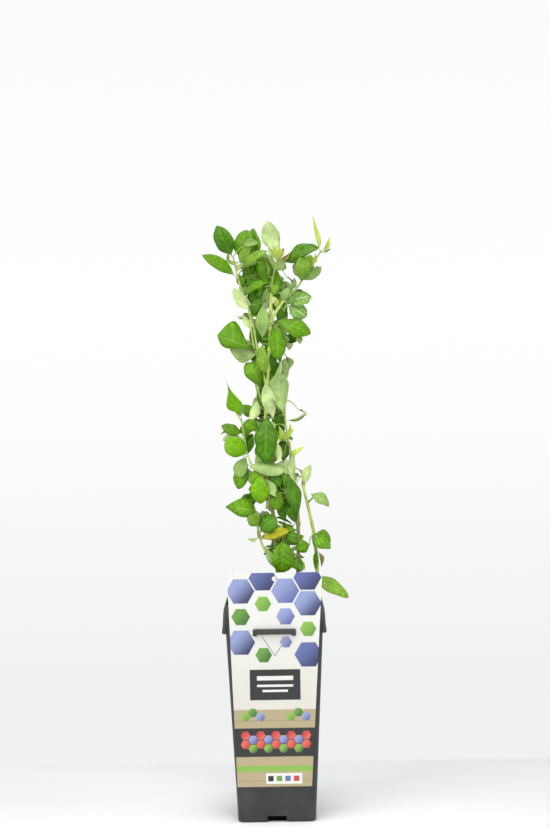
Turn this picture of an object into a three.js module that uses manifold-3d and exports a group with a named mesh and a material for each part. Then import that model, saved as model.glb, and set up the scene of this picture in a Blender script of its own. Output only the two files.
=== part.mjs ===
// A young blueberry bush in a tall square nursery pot with a printed care label.
// Millimetres, +Z up, origin at the centre of the pot's flat underside, front towards -Y.

import * as THREE from 'three';
import { mergeVertices } from 'three/addons/utils/BufferGeometryUtils.js';
import Module from 'manifold-3d';

const wasm = await Module();
wasm.setup();

// ---------------------------------------------------------------- driving dimensions

const CLEAR = 0.3; // between pieces that touch on the real plant

const POT = {
  baseHalf: 41,
  shoulderHalf: 51,
  shoulderHeight: 200,
  ledgeHalf: 55,
  ledgeHeight: 5,
  collarFootHalf: 54.4,
  collarTopHalf: 51.9,
  collarBend: 224,
  height: 230,
  wall: 1.7,
  floor: 2.5,
  corner: 7,
  bottomChamfer: 1.5,
};
const TAPER = (POT.shoulderHalf - POT.baseHalf) / POT.shoulderHeight;
const NOTCH = { halfWidth: 10, height: 6.4, depth: 7, wall: 1.6 };
const DRAIN = { radius: 4, offset: 22 };
const COLLAR_SLOT = { y: 39, halfWidth: 5, bottom: 212.5, top: 219.5 };
const SOIL_TOP = 207;

const LABEL = {
  bottom: 38,
  top: 264.5,
  bottomHalf: 39.2,
  topHalf: 50,
  thickness: 0.8,
  bottomShift: -2,
  topShift: 1.2,
  holeRadius: 2.6,
  holeDrop: 6.5,
};
const CLIP = { half: 22, bottom: 199.5, height: 5.6, depth: 3, leg: 3.2 };

const LEAF_HALF_THICKNESS = 0.42;
const TWIG_SIDES = 3;
const LIMB_SIDES = 8;
const MASS_STEM_RADIUS = 1.3;
const TWIG_RADIUS = 0.95;
const PETIOLE_HALF = 0.33;
const ROOT = 1.5; // how far a leaf or twig starts inside what carries it
const FOOT_LENGTH = 4; // bare foot of a mass's own stem
const TWIGGED = { from: 0.21, share: 0.77 }; // stretch of a mass's stem that the rule gives twigs
const LEAF_LENGTH_FOR = { width: 2.2, least: 6 };
const SAMPLE_STEP = 1.6; // spacing of the points that stand for a leaf in the clearance test
const MASS_GAP = 2.5; // least distance between such points of two masses
const LIMB_GAP = 1.3; // least distance from such a point to a limb
const GOLDEN_ANGLE = 137.5;
const FINEST = 0.02; // edges shorter than this are closed up

// ---------------------------------------------------------------- the plant's plan

// Stems stand on the soil, boughs leave a stem at a height. The route's first point is the foot.
const LIMBS = [
  { name: 'stem_centre', foot: 2.2, tip: 1.2, route: [[5, 4, SOIL_TOP], [4, 4, 273], [1, 4, 319],
    [-4, 4, 350], [-6, 3, 413], [-3, 2, 462], [-1, 0, 490], [1, -2, 530], [2, -2, 560]] },
  { name: 'stem_middle', foot: 2.5, tip: 1.2, route: [[23, 0, SOIL_TOP], [27, 1, 273], [27, 0, 325],
    [25, 0, 348], [21, -2, 370], [20, -2, 392]] },
  { name: 'stem_right', foot: 1.9, tip: 1.1, route: [[42, 3, SOIL_TOP], [47, 3, 260], [46, 3, 285],
    [43, 4, 308], [38, 4, 332], [33, 6, 354]] },
  { name: 'stem_low_left', foot: 1.4, tip: 0.9, route: [[11, -9, SOIL_TOP], [6, -11, 261],
    [-3, -12, 275], [-9, -12, 285], [-14, -10, 297]] },
  { name: 'bough_left', foot: 1.3, tip: 0.9, from: 'stem_centre', height: 458,
    route: [[-10, 1, 480], [-14, 1, 505], [-19, 0, 534], [-23, -2, 550]] },
  { name: 'bough_upright', foot: 1.3, tip: 0.9, from: 'stem_centre', height: 528,
    route: [[7, -5, 540], [17, -8, 554]] },
  { name: 'bough_mid_left', foot: 1.2, tip: 0.9, from: 'stem_centre', height: 356,
    route: [[-14, 1, 366], [-22, -1, 377], [-27, -2, 390]] },
];

// Each mass grows from a limb at a height, or from its tip where no height is given. `route` is
// its own stem, `tips` are its outermost leaves as [place on the stem 0 to 1, tip x, y, z, width],
// and the seeded rule adds `twigs` more with leaves of about `size`, the first towards `heading`.
const MASSES = [
  { name: 'foliage_top_left', from: 'bough_left', twigs: 2, size: 29, heading: 150, seed: 11,
    route: [[-30, -4, 566], [-37, -5, 584], [-39, -4, 601]],
    tips: [[1, -57, -6, 634, 17], [0.62, -69, -14, 602, 12], [0.95, -48, 6, 600, 5],
      [0.15, -18, 6, 631, 24], [0.3, -3, -14, 602, 15]] },
  { name: 'foliage_top_middle', from: 'stem_centre', twigs: 4, size: 29, heading: 240, seed: 12,
    route: [[4, -2, 580], [10, -4, 597]],
    tips: [[1, -4, 2, 636, 15], [0.9, 8, -9, 613, 8], [0.6, -18, -12, 566, 19],
      [0.95, 52, -10, 610, 13], [0.5, 12, 30, 600, 16]] },
  { name: 'foliage_top_right', from: 'bough_upright', twigs: 1, size: 22, heading: 70, seed: 13,
    route: [[27, -8, 562], [37, -7, 575], [47, -5, 590], [56, -4, 604]],
    tips: [[0.42, 36, -18, 600, 17], [0.45, 55, 4, 588, 9], [1, 48, -3, 644, 6],
      [0.98, 65, -2, 619, 4], [0.05, 26, -18, 574, 7]] },
  { name: 'foliage_upper_left', from: 'bough_left', height: 492, twigs: 1, size: 26, heading: 200, seed: 14,
    route: [[-16, -6, 499], [-20, -9, 514], [-21, -10, 533]],
    tips: [[0.12, -51, -16, 527, 26], [0.02, -37, 4, 487, 13], [1, -36, -12, 564, 12],
      [0.65, -30, -12, 538, 6]] },
  { name: 'foliage_upper_middle', from: 'stem_centre', height: 502, twigs: 4, size: 28, heading: 250,
    seed: 15, route: [[3, -8, 508], [4, -12, 522]],
    tips: [[0.3, -8, -14, 550, 12], [1, 12, -17, 491, 18], [0.2, -14, -12, 482, 13]] },
  { name: 'foliage_upper_right', from: 'stem_centre', height: 520, twigs: 2, size: 24, heading: 60,
    seed: 16, route: [[9, 2, 526], [15, 2, 537], [19, 2, 548]],
    tips: [[0.4, 43, -12, 512, 22], [1, 45, -4, 557, 15], [0.8, 42, 0, 538, 16],
      [0.9, 4, -14, 565, 12]] },
  { name: 'foliage_mid_left', from: 'bough_mid_left', twigs: 2, size: 26, heading: 190, seed: 17,
    route: [[-29, -3, 405], [-32, -4, 427]],
    tips: [[1, -47, -6, 472, 17], [0.6, -52, -8, 419, 13], [0.1, -47, -10, 405, 18],
      [0.02, -40, 6, 364, 14]] },
  { name: 'foliage_centre_left', from: 'stem_centre', height: 440, twigs: 3, size: 30, heading: 240,
    seed: 18, route: [[-11, -3, 448], [-14, -6, 462]],
    tips: [[1, -22, 2, 488, 14], [0.6, 4, -16, 424, 14], [0.9, -8, -12, 486, 13]] },
  { name: 'foliage_centre', from: 'stem_middle', twigs: 3, size: 27, heading: 230, seed: 19,
    route: [[17, -4, 408], [15, -5, 431], [16, -4, 448]],
    tips: [[0.65, 7, -16, 473, 19], [0.6, 39, 0, 433, 5], [0.1, 32, -14, 400, 5],
      [1, 19, 2, 496, 10], [0.2, 8, -12, 416, 6]] },
  { name: 'foliage_front', from: 'stem_centre', height: 402, twigs: 4, size: 30, heading: 250, seed: 20,
    route: [[-4, -5, 406], [-4, -12, 418]],
    tips: [[1, -4, -19, 377, 23], [0.2, -27, -9, 423, 12], [0.1, 18, -16, 392, 14]] },
  { name: 'foliage_low_right', from: 'stem_right', twigs: 1, size: 22, heading: 190, seed: 21,
    route: [[33, 5, 362], [31, 2, 370]],
    tips: [[0.5, 41, 4, 386, 9], [0.1, 23, -8, 388, 9], [0.2, 14, -14, 352, 11]] },
  { name: 'foliage_far_right', from: 'stem_right', height: 334, twigs: 0, size: 20, heading: 20, seed: 22,
    route: [[42, 0, 338], [45, -4, 341]],
    tips: [[1, 61, -4, 334, 10], [0.9, 38, -12, 366, 8]] },
  { name: 'foliage_inner_right', from: 'stem_middle', height: 352, twigs: 3, size: 26, heading: 230,
    seed: 33, route: [[18, -6, 352], [14, -10, 346]],
    tips: [[0.9, 4, -18, 318, 13], [0.3, 22, -12, 318, 11], [0.6, 20, -13, 380, 11]] },
  { name: 'foliage_low_middle', from: 'stem_centre', height: 366, twigs: 3, size: 29, heading: 230,
    seed: 23, route: [[-8, -6, 366], [-9, -12, 362]],
    tips: [[1, -14, -14, 334, 17], [0.8, 3, -18, 342, 6], [0.4, -23, -16, 380, 14],
      [0.9, -37, -4, 352, 12]] },
  { name: 'foliage_base_left', from: 'stem_low_left', twigs: 2, size: 24, heading: 260, seed: 24,
    route: [[-17, -10, 308], [-17, -9, 327]],
    tips: [[1, -50, -4, 334, 18], [0.6, -29, -10, 309, 6], [0.85, -1, -14, 300, 20]] },
  { name: 'foliage_base_middle', from: 'stem_middle', height: 306, twigs: 3, size: 26, heading: 280,
    seed: 25, route: [[20, -5, 304], [14, -8, 296]],
    tips: [[1, 10, -15, 262, 23], [0.7, -10, -6, 292, 10], [0.1, 20, -9, 337, 12],
      [0.8, 30, -14, 264, 13]] },
  { name: 'foliage_base_right', from: 'stem_right', height: 296, twigs: 0, size: 20, heading: 10,
    seed: 26, route: [[43, -2, 298], [42, -8, 300]],
    tips: [[1, 62, -8, 284, 18], [0.6, 30, -6, 282, 12], [0.8, 54, 6, 306, 8]] },
  { name: 'foliage_foot_right', from: 'stem_right', height: 246, twigs: 0, size: 22, heading: 350,
    seed: 27, route: [[50, -1, 250], [52, -2, 256]],
    tips: [[0.6, 80, -12, 234, 17], [0.9, 47, -10, 278, 6]] },
  { name: 'foliage_rear_top', from: 'stem_centre', height: 548, twigs: 4, size: 28, heading: 95,
    seed: 28, route: [[2, 6, 556], [0, 14, 568], [4, 20, 580]], tips: [[1, -6, 36, 606, 15]] },
  { name: 'foliage_rear_upper', from: 'stem_centre', height: 480, twigs: 4, size: 27, heading: 80,
    seed: 29, route: [[1, 9, 488], [2, 16, 508]], tips: [[1, 10, 40, 532, 17]] },
  { name: 'foliage_rear_middle', from: 'stem_centre', height: 416, twigs: 4, size: 27, heading: 100,
    seed: 30, route: [[-4, 12, 424], [-4, 19, 444]], tips: [[1, -16, 42, 468, 17]] },
  { name: 'foliage_rear_low', from: 'stem_centre', height: 330, twigs: 4, size: 27, heading: 80,
    seed: 31, route: [[4, 12, 338], [6, 18, 356]], tips: [[1, 16, 42, 378, 17]] },
  { name: 'foliage_rear_base', from: 'stem_centre', height: 272, twigs: 3, size: 24, heading: 90,
    seed: 32, route: [[6, 12, 278], [8, 17, 290]], tips: [[1, -6, 36, 306, 16]] },
];

// ---------------------------------------------------------------- geometry helpers

const point = (xyz) => new THREE.Vector3(...xyz);
const radians = THREE.MathUtils.degToRad;

function geometryFrom(vertices, triangles) {
  const geometry = new THREE.BufferGeometry();
  const flat = vertices.flatMap((v) => [v.x, v.y, v.z]);
  geometry.setAttribute('position', new THREE.Float32BufferAttribute(flat, 3));
  geometry.setIndex(triangles.flat());
  return geometry;
}

function solidFrom(geometry) {
  const bare = geometry.clone();
  bare.deleteAttribute('normal');
  bare.deleteAttribute('uv');
  const merged = mergeVertices(bare, 1e-4);
  const mesh = new wasm.Mesh({
    numProp: 3,
    vertProperties: new Float32Array(merged.attributes.position.array),
    triVerts: new Uint32Array(merged.index.array),
  });
  return new wasm.Manifold(mesh);
}

// The largest body's outer shell: a hollow that joining sealed is filled, a loose scrap dropped.
function wholeBody(solid) {
  const bodies = solid.simplify(FINEST).decompose();
  return bodies.reduce((best, body) => (body.volume() > best.volume() ? body : best));
}

function geometryOf(solid) {
  const mesh = solid.getMesh();
  const geometry = new THREE.BufferGeometry();
  geometry.setAttribute('position', new THREE.BufferAttribute(mesh.vertProperties, 3));
  geometry.setIndex(new THREE.BufferAttribute(mesh.triVerts, 1));
  return geometry;
}

// Rings of equal count, counter-clockwise about the way they are stacked, closed by flat ends.
function loft(rings) {
  const count = rings[0].length;
  const triangles = [];
  for (let r = 0; r + 1 < rings.length; r += 1) {
    for (let i = 0; i < count; i += 1) {
      const a = r * count + i;
      const b = r * count + ((i + 1) % count);
      triangles.push([a, b, b + count], [a, b + count, a + count]);
    }
  }
  const last = (rings.length - 1) * count;
  for (let i = 1; i + 1 < count; i += 1) {
    triangles.push([0, i + 1, i], [last, last + i, last + i + 1]);
  }
  return geometryFrom(rings.flat(), triangles);
}

function roundedRing({ z, half, front = half, corner }) {
  const steps = 4;
  const ring = [];
  const centres = [[1, 1, half], [-1, 1, half], [-1, -1, front], [1, -1, front]];
  centres.forEach(([sx, sy, reach], quarter) => {
    for (let i = 0; i <= steps; i += 1) {
      const angle = (quarter + i / steps) * (Math.PI / 2);
      ring.push(new THREE.Vector3(
        sx * (half - corner) + corner * Math.cos(angle),
        sy * (reach - corner) + corner * Math.sin(angle),
        z,
      ));
    }
  });
  return ring;
}

function block(x0, x1, y0, y1, z0, z1) {
  const box = new THREE.BoxGeometry(x1 - x0, y1 - y0, z1 - z0);
  return box.translate((x0 + x1) / 2, (y0 + y1) / 2, (z0 + z1) / 2);
}

// A tapering tube; its foot is cut square to `footWay` where that is given.
function tube(centres, radiusAt, sides, footWay) {
  let u = null;
  const rings = centres.map((centre, i) => {
    const before = centres[Math.max(0, i - 1)];
    const after = centres[Math.min(centres.length - 1, i + 1)];
    const along = after.clone().sub(before).normalize();
    if (footWay && i === 0) along.copy(footWay);
    u ??= Math.abs(along.x) > 0.9 ? point([0, 1, 0]) : point([1, 0, 0]);
    u = u.clone().addScaledVector(along, -u.dot(along)).normalize();
    const v = along.clone().cross(u);
    const radius = radiusAt(i / (centres.length - 1));
    return Array.from({ length: sides }, (_, k) => {
      const angle = (k / sides) * 2 * Math.PI;
      return centre.clone()
        .addScaledVector(u, radius * Math.cos(angle))
        .addScaledVector(v, radius * Math.sin(angle));
    });
  });
  return loft(rings);
}

// ---------------------------------------------------------------- pot, soil and label

const wallHalf = (z) => POT.baseHalf + TAPER * z;

function potOutside() {
  const ledgeTop = POT.shoulderHeight + POT.ledgeHeight;
  return loft([
    { z: 0, half: POT.baseHalf - POT.bottomChamfer },
    { z: POT.bottomChamfer, half: wallHalf(POT.bottomChamfer) },
    { z: POT.shoulderHeight, half: POT.shoulderHalf },
    { z: POT.shoulderHeight + 0.4, half: POT.ledgeHalf },
    { z: ledgeTop, half: POT.ledgeHalf },
    { z: ledgeTop + 0.4, half: POT.collarFootHalf },
    { z: POT.collarBend, half: POT.collarFootHalf - 1 },
    { z: POT.height, half: POT.collarTopHalf },
  ].map((ring) => roundedRing({ corner: POT.corner, ...ring })));
}

function potInside() {
  const body = loft([
    { z: POT.floor, half: wallHalf(POT.floor) - POT.wall },
    { z: POT.shoulderHeight + 4, half: POT.shoulderHalf - POT.wall },
  ].map((ring) => roundedRing({ corner: POT.corner - POT.wall, ...ring })));
  const front = POT.shoulderHalf - POT.wall;
  const collar = loft([
    { z: POT.shoulderHeight + 2, half: POT.collarFootHalf - 2.4, front },
    { z: POT.collarBend, half: POT.collarFootHalf - 2.8, front },
    { z: POT.height + 1, half: POT.collarTopHalf - POT.wall, front },
  ].map((ring) => roundedRing({ corner: POT.corner - POT.wall, ...ring })));
  return solidFrom(body).add(solidFrom(collar));
}

function aroundPot(make) {
  return [0, 1, 2, 3].map((k) => make().rotateZ((k * Math.PI) / 2));
}

// The four base notches push pockets into the soil; `grow` makes the cutter for the soil.
function notchPocket(grow) {
  const { halfWidth, height, depth, wall } = NOTCH;
  const reach = wall + grow;
  return block(-halfWidth - reach, halfWidth + reach, -POT.baseHalf + 0.3,
    -POT.baseHalf + depth + reach, 0.5, height + reach);
}

function notchCut() {
  const { halfWidth, height, depth } = NOTCH;
  return block(-halfWidth, halfWidth, -POT.baseHalf - 2, -POT.baseHalf + depth, -1, height);
}

// Seat for the label: the front of ledge and collar lies back to the plane of the front wall.
function labelSeat() {
  const half = LABEL.topHalf + 1.4;
  const depth = 12;
  const seat = block(-half, half, -depth, 0, 0, 40);
  seat.rotateX(Math.atan(TAPER));
  return seat.translate(0, -POT.shoulderHalf, POT.shoulderHeight);
}

function clipBar() {
  const { half, bottom, height, depth, leg } = CLIP;
  const face = -wallHalf(bottom + height) - LABEL.thickness - 3 * CLEAR;
  const bar = block(-half, half, face - depth, face, bottom, bottom + height);
  const legs = [-half, half - leg].map((x) => (
    block(x, x + leg, face - depth, -POT.shoulderHalf + 1, bottom - 1.5, bottom + height - 1.5)));
  return legs.reduce((all, one) => all.add(solidFrom(one)), solidFrom(bar));
}

function makePot() {
  let pot = solidFrom(potOutside()).subtract(solidFrom(labelSeat())).subtract(potInside());
  for (const pocket of aroundPot(() => notchPocket(0))) pot = pot.add(solidFrom(pocket));
  for (const cut of aroundPot(notchCut)) pot = pot.subtract(solidFrom(cut));
  for (const [sx, sy] of [[1, 1], [1, -1], [-1, 1], [-1, -1]]) {
    const hole = new THREE.CylinderGeometry(DRAIN.radius, DRAIN.radius, 12, 16);
    hole.rotateX(Math.PI / 2).translate(sx * DRAIN.offset, sy * DRAIN.offset, 0);
    pot = pot.subtract(solidFrom(hole));
  }
  for (const sy of [-1, 1]) {
    const y = sy * COLLAR_SLOT.y;
    const slot = block(-70, 70, y - COLLAR_SLOT.halfWidth, y + COLLAR_SLOT.halfWidth,
      COLLAR_SLOT.bottom, COLLAR_SLOT.top);
    pot = pot.subtract(solidFrom(slot));
  }
  return pot.add(clipBar());
}

function makeSoil() {
  const inset = POT.wall + CLEAR;
  const top = POT.shoulderHalf - inset;
  const filling = loft([
    { z: POT.floor + CLEAR, half: wallHalf(POT.floor) - inset },
    { z: POT.shoulderHeight, half: top },
    { z: SOIL_TOP - CLEAR, half: top },
  ].map((ring) => roundedRing({ corner: POT.corner - POT.wall, ...ring })));
  return aroundPot(() => notchPocket(CLEAR)).reduce(
    (soil, pocket) => soil.subtract(solidFrom(pocket)),
    solidFrom(filling),
  );
}

function makeLabel() {
  const { bottom, top, bottomHalf, topHalf, bottomShift, topShift, thickness } = LABEL;
  const shape = new THREE.Shape([
    new THREE.Vector2(bottomShift - bottomHalf, 0),
    new THREE.Vector2(bottomShift + bottomHalf, 0),
    new THREE.Vector2(topShift + topHalf, top - bottom),
    new THREE.Vector2(topShift - topHalf, top - bottom),
  ]);
  const hole = new THREE.Path();
  hole.absarc(0.8, top - bottom - LABEL.holeDrop, LABEL.holeRadius, 0, 2 * Math.PI, true);
  shape.holes.push(hole);
  const card = new THREE.ExtrudeGeometry(shape, {
    depth: thickness, bevelEnabled: false, curveSegments: 10,
  });
  card.rotateX(Math.PI / 2 + Math.atan(TAPER));
  card.translate(0, -wallHalf(bottom) - CLEAR, bottom);
  let label = solidFrom(card);
  const room = 2 * CLEAR;
  for (const x of [-CLIP.half, CLIP.half - CLIP.leg]) {
    const slit = block(x - room, x + CLIP.leg + room, -70, -40, CLIP.bottom - 1.5 - room,
      CLIP.bottom + CLIP.height - 1.5 + room);
    label = label.subtract(solidFrom(slit));
  }
  return label;
}

// ---------------------------------------------------------------- limbs

const limbs = new Map();

function onLimb(limb, height) {
  const heights = limb.centres.map((c) => c.z);
  const above = heights.findIndex((z) => z >= height);
  const i = above < 1 ? limb.centres.length - 1 : above;
  const low = limb.centres[i - 1];
  const high = limb.centres[i];
  const share = (height - low.z) / (high.z - low.z);
  const t = (i - 1 + share) / (limb.centres.length - 1);
  return {
    centre: low.clone().lerp(high, share),
    along: high.clone().sub(low).normalize(),
    radius: THREE.MathUtils.lerp(limb.foot, limb.tip, t),
  };
}

// Where a shoot starts and which way it first heads: square off the side of its limb at a height,
// on from the limb's tip where no height is given, or straight up off the soil.
function footOf({ from, height, route }) {
  const first = point(route[0]);
  if (!from) return { foot: first, footWay: point([0, 0, 1]) };
  const limb = limbs.get(from);
  if (height === undefined) {
    const [before, end] = limb.centres.slice(-2);
    const footWay = end.clone().sub(before).normalize();
    return { foot: end.clone().addScaledVector(footWay, CLEAR), footWay };
  }
  const { centre, along, radius } = onLimb(limb, height);
  const footWay = first.sub(centre);
  footWay.addScaledVector(along, -footWay.dot(along)).normalize();
  return { foot: centre.addScaledVector(footWay, radius + CLEAR), footWay };
}

function courseOf(shoot) {
  const { foot, footWay } = footOf(shoot);
  const points = shoot.route.map(point);
  if (shoot.from) points.unshift(foot);
  return { footWay, curve: new THREE.CatmullRomCurve3(points, false, 'centripetal') };
}

function makeLimb(limb) {
  const { curve, footWay } = courseOf(limb);
  const steps = Math.max(5, Math.round(curve.getLength() / 16));
  const centres = curve.getSpacedPoints(steps);
  limbs.set(limb.name, { ...limb, centres });
  const radiusAt = (t) => THREE.MathUtils.lerp(limb.foot, limb.tip, t);
  return solidFrom(tube(centres, radiusAt, LIMB_SIDES, footWay));
}

// ---------------------------------------------------------------- leaves

// A repeatable number from 0 to 1 for a seed and two counters.
function chance(seed, i, k) {
  const wave = Math.sin(seed * 12.9898 + i * 78.233 + k * 37.719) * 43758.5453;
  return wave - Math.floor(wave);
}

const spread = (seed, i, k, amount) => (2 * chance(seed, i, k) - 1) * amount;

// Half the blade's width at places along the leaf, as a share of half its full width.
const BLADE = [[0, 0], [0.32, 0.92], [0.68, 0.88]];

function bladeHalf(t, width) {
  const stations = [...BLADE, [1, 0]];
  const i = Math.max(1, stations.findIndex(([place]) => place >= t));
  const [t0, w0] = stations[i - 1];
  const [t1, w1] = stations[i];
  return (THREE.MathUtils.lerp(w0, w1, (t - t0) / (t1 - t0)) * width) / 2;
}

// A leaf's frame: along its chord, across the blade, and off its upper side.
function leafFrame({ base, tip, turn }) {
  const along = tip.clone().sub(base);
  const length = along.length();
  along.divideScalar(length);
  const facing = tip.y > base.y + 6 ? 0.75 : -0.75;
  const up = point([base.x * 0.01, facing, 0.66]);
  up.addScaledVector(along, -up.dot(along)).normalize();
  up.applyAxisAngle(along, radians(turn));
  return { along, across: along.clone().cross(up), up, length };
}

function leafOf(leaf) {
  const { base, tip, width, fold, arch } = leaf;
  const { along, across, up, length } = leafFrame(leaf);
  const onBlade = (t, off) => base.clone()
    .addScaledVector(along, t * length)
    .addScaledVector(across, off)
    .addScaledVector(up, 4 * arch * length * t * (1 - t) + fold * Math.abs(off));
  const vertices = [];
  for (const [t] of BLADE) {
    const half = Math.max(PETIOLE_HALF, bladeHalf(t, width));
    vertices.push(onBlade(t, -half));
    const rise = t === 0 ? PETIOLE_HALF : LEAF_HALF_THICKNESS;
    vertices.push(onBlade(t, 0).addScaledVector(up, rise));
    vertices.push(onBlade(t, half));
    vertices.push(onBlade(t, 0).addScaledVector(up, -rise));
  }
  const end = vertices.push(tip.clone()) - 1;
  const triangles = [[0, 2, 1], [0, 3, 2]];
  for (let k = 0; k < 4; k += 1) {
    const next = (k + 1) % 4;
    triangles.push([end, end - 4 + k, end - 4 + next]);
    for (let s = 0; s + 1 < BLADE.length; s += 1) {
      const a = 4 * s + k;
      const b = 4 * s + next;
      triangles.push([a, b, b + 4], [a, b + 4, a + 4]);
    }
  }
  return { geometry: geometryFrom(vertices, triangles), samples: leafSamples(onBlade, leaf) };
}

// Points over the blade, close enough together that nothing slips through between them.
function leafSamples(onBlade, { base, tip, width }) {
  const samples = [];
  const rows = Math.ceil(tip.distanceTo(base) / SAMPLE_STEP);
  for (let r = 2; r <= rows; r += 1) {
    const half = bladeHalf(r / rows, width);
    const columns = Math.max(1, Math.ceil(half / SAMPLE_STEP));
    for (let c = -columns; c <= columns; c += 1) {
      samples.push(onBlade(r / rows, (c / columns) * half));
    }
  }
  return samples;
}

// ---------------------------------------------------------------- clearance between masses

const taken = new Map();
const cellOf = (v) => [v.x, v.y, v.z].map((n) => Math.floor(n / MASS_GAP));

function claim(samples, owner) {
  for (const v of samples) {
    const key = cellOf(v).join();
    if (!taken.has(key)) taken.set(key, []);
    taken.get(key).push({ v, owner });
  }
}

function meetsOther(v, owner) {
  const [cx, cy, cz] = cellOf(v);
  for (let x = cx - 1; x <= cx + 1; x += 1) {
    for (let y = cy - 1; y <= cy + 1; y += 1) {
      for (let z = cz - 1; z <= cz + 1; z += 1) {
        for (const other of taken.get([x, y, z].join()) ?? []) {
          if (other.owner !== owner && other.v.distanceTo(v) < MASS_GAP) return true;
        }
      }
    }
  }
  return false;
}

function meetsLimb(v) {
  for (const limb of limbs.values()) {
    const last = limb.centres.length - 1;
    for (let i = 0; i < last; i += 1) {
      const radius = THREE.MathUtils.lerp(limb.foot, limb.tip, i / last);
      const near = new THREE.Line3(limb.centres[i], limb.centres[i + 1])
        .closestPointToPoint(v, true, new THREE.Vector3());
      if (near.distanceTo(v) < radius + LIMB_GAP) return true;
    }
  }
  return false;
}

// The collar stands round the soil, and the label stands up in front of it.
function meetsPot(v) {
  const aside = Math.max(Math.abs(v.x), Math.abs(v.y));
  const inCollar = aside > POT.collarTopHalf - 4 && aside < POT.ledgeHalf + 2;
  const inLabel = Math.abs(v.x) < LABEL.topHalf + 3 && v.y < 4 - wallHalf(LABEL.top);
  return (inCollar && v.z < POT.height + 2) || (inLabel && v.z < LABEL.top + 2);
}

const isClear = (samples, owner) => samples.every((v) => (
  v.z > SOIL_TOP + 3 && !meetsLimb(v) && !meetsPot(v) && !meetsOther(v, owner)));

// ---------------------------------------------------------------- foliage masses

function massStem(mass) {
  const { curve, footWay } = courseOf(mass);
  const length = curve.getLength();
  const steps = Math.max(2, Math.round(length / 10));
  const centres = curve.getSpacedPoints(steps);
  const at = (place) => {
    const clear = THREE.MathUtils.lerp(FOOT_LENGTH, length - ROOT, place) / length;
    const i = Math.min(steps - 1, Math.floor(clear * steps));
    return centres[i].clone().lerp(centres[i + 1], clear * steps - i);
  };
  const radiusAt = (t) => MASS_STEM_RADIUS * (1 - 0.3 * t);
  const solid = solidFrom(tube(centres, radiusAt, TWIG_SIDES, footWay));
  return { at, samples: curve.getSpacedPoints(4 * steps), solid };
}

// A twig from one point to another, its root already inside what carries it.
function twigOf(from, to) {
  const steps = Math.ceil(from.distanceTo(to) / SAMPLE_STEP);
  const samples = [];
  for (let i = 2; i <= steps; i += 1) samples.push(from.clone().lerp(to, i / steps));
  const geometry = tube([from, to], (t) => TWIG_RADIUS * (1 - 0.25 * t), TWIG_SIDES);
  return { geometry, samples };
}

// Turns a leaf about its chord until it lies clear, or gives nothing.
function fittedLeaf(leaf, owner) {
  for (const turn of [0, 25, -25, 50, -50, 75, -75]) {
    const made = leafOf({ ...leaf, turn: leaf.turn + turn });
    if (isClear(made.samples, owner)) return made;
  }
  return null;
}

const formOf = (seed, i, lean) => ({
  turn: spread(seed, i, 5, lean),
  fold: 0.08 + 0.24 * chance(seed, i, 6),
  arch: 0.02 + 0.07 * chance(seed, i, 7),
});

// An outermost leaf is as long as its width asks for, on a twig that makes up the rest.
function outerSpray(mass, at, i) {
  const [place, x, y, z, width] = mass.tips[i];
  const from = at(place);
  const tip = point([x, y, z]);
  const span = tip.distanceTo(from);
  const length = LEAF_LENGTH_FOR.width * width + LEAF_LENGTH_FOR.least;
  const twig = span - length > 2 * ROOT ? span - length : 0;
  const base = from.clone().lerp(tip, Math.max(0, twig - ROOT) / span);
  const leaf = { base, tip, width, ...formOf(mass.seed, i, 18) };
  return { from, to: twig ? from.clone().lerp(tip, twig / span) : null, leaves: [leaf] };
}

function directionOf(heading, rise) {
  return point([
    Math.cos(rise) * Math.cos(heading),
    Math.cos(rise) * Math.sin(heading),
    Math.sin(rise),
  ]);
}

// A twig of the rule: it heads off round the stem by the golden angle and carries three leaves,
// one to each side and one at its end.
function ruledSpray(mass, at, i) {
  const { seed } = mass;
  const k = 20 + 5 * i;
  const from = at(TWIGGED.from + (TWIGGED.share * (i + 0.5)) / mass.twigs);
  const heading = radians(mass.heading + i * GOLDEN_ANGLE + spread(seed, k, 1, 20));
  const rise = radians(25 + spread(seed, k, 2, 30));
  const twig = mass.size * (0.5 + 0.3 * chance(seed, k, 3));
  const to = from.clone().addScaledVector(directionOf(heading, rise), twig);
  const leaves = [[0.35, 0.95], [0.7, -0.85], [1, 0.1]].map(([share, aside], n) => {
    const base = from.clone().lerp(to, share - ROOT / twig / 2);
    const length = mass.size * (1 + spread(seed, k + n, 4, 0.2));
    const along = directionOf(heading + aside, rise + spread(seed, k + n, 8, 0.4));
    const tip = base.clone().addScaledVector(along, length);
    return { base, tip, width: length * (0.52 + spread(seed, k + n, 9, 0.06)),
      ...formOf(seed, k + n, 35) };
  });
  return { from, to, leaves };
}

function makeMasses() {
  const stems = new Map(MASSES.map((mass) => [mass.name, massStem(mass)]));
  const solids = new Map(MASSES.map((mass) => [mass.name, stems.get(mass.name).solid]));
  for (const [name, { samples }] of stems) claim(samples, name);
  const join = (name, { geometry, samples }) => {
    claim(samples, name);
    solids.set(name, solids.get(name).add(solidFrom(geometry)));
  };
  const grow = (mass, { from, to, leaves }) => {
    const twig = to && twigOf(from, to);
    if (twig && !isClear(twig.samples, mass.name)) return;
    const fitted = leaves.map((leaf) => fittedLeaf(leaf, mass.name)).filter(Boolean);
    if (!fitted.length) return;
    if (twig) join(mass.name, twig);
    for (const leaf of fitted) join(mass.name, leaf);
  };
  for (const mass of MASSES) {
    const { at } = stems.get(mass.name);
    mass.tips.forEach((_, i) => grow(mass, outerSpray(mass, at, i)));
  }
  for (const mass of MASSES) {
    const { at } = stems.get(mass.name);
    for (let i = 0; i < mass.twigs; i += 1) grow(mass, ruledSpray(mass, at, i));
  }
  return solids;
}

// ---------------------------------------------------------------- the assembled plant

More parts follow.
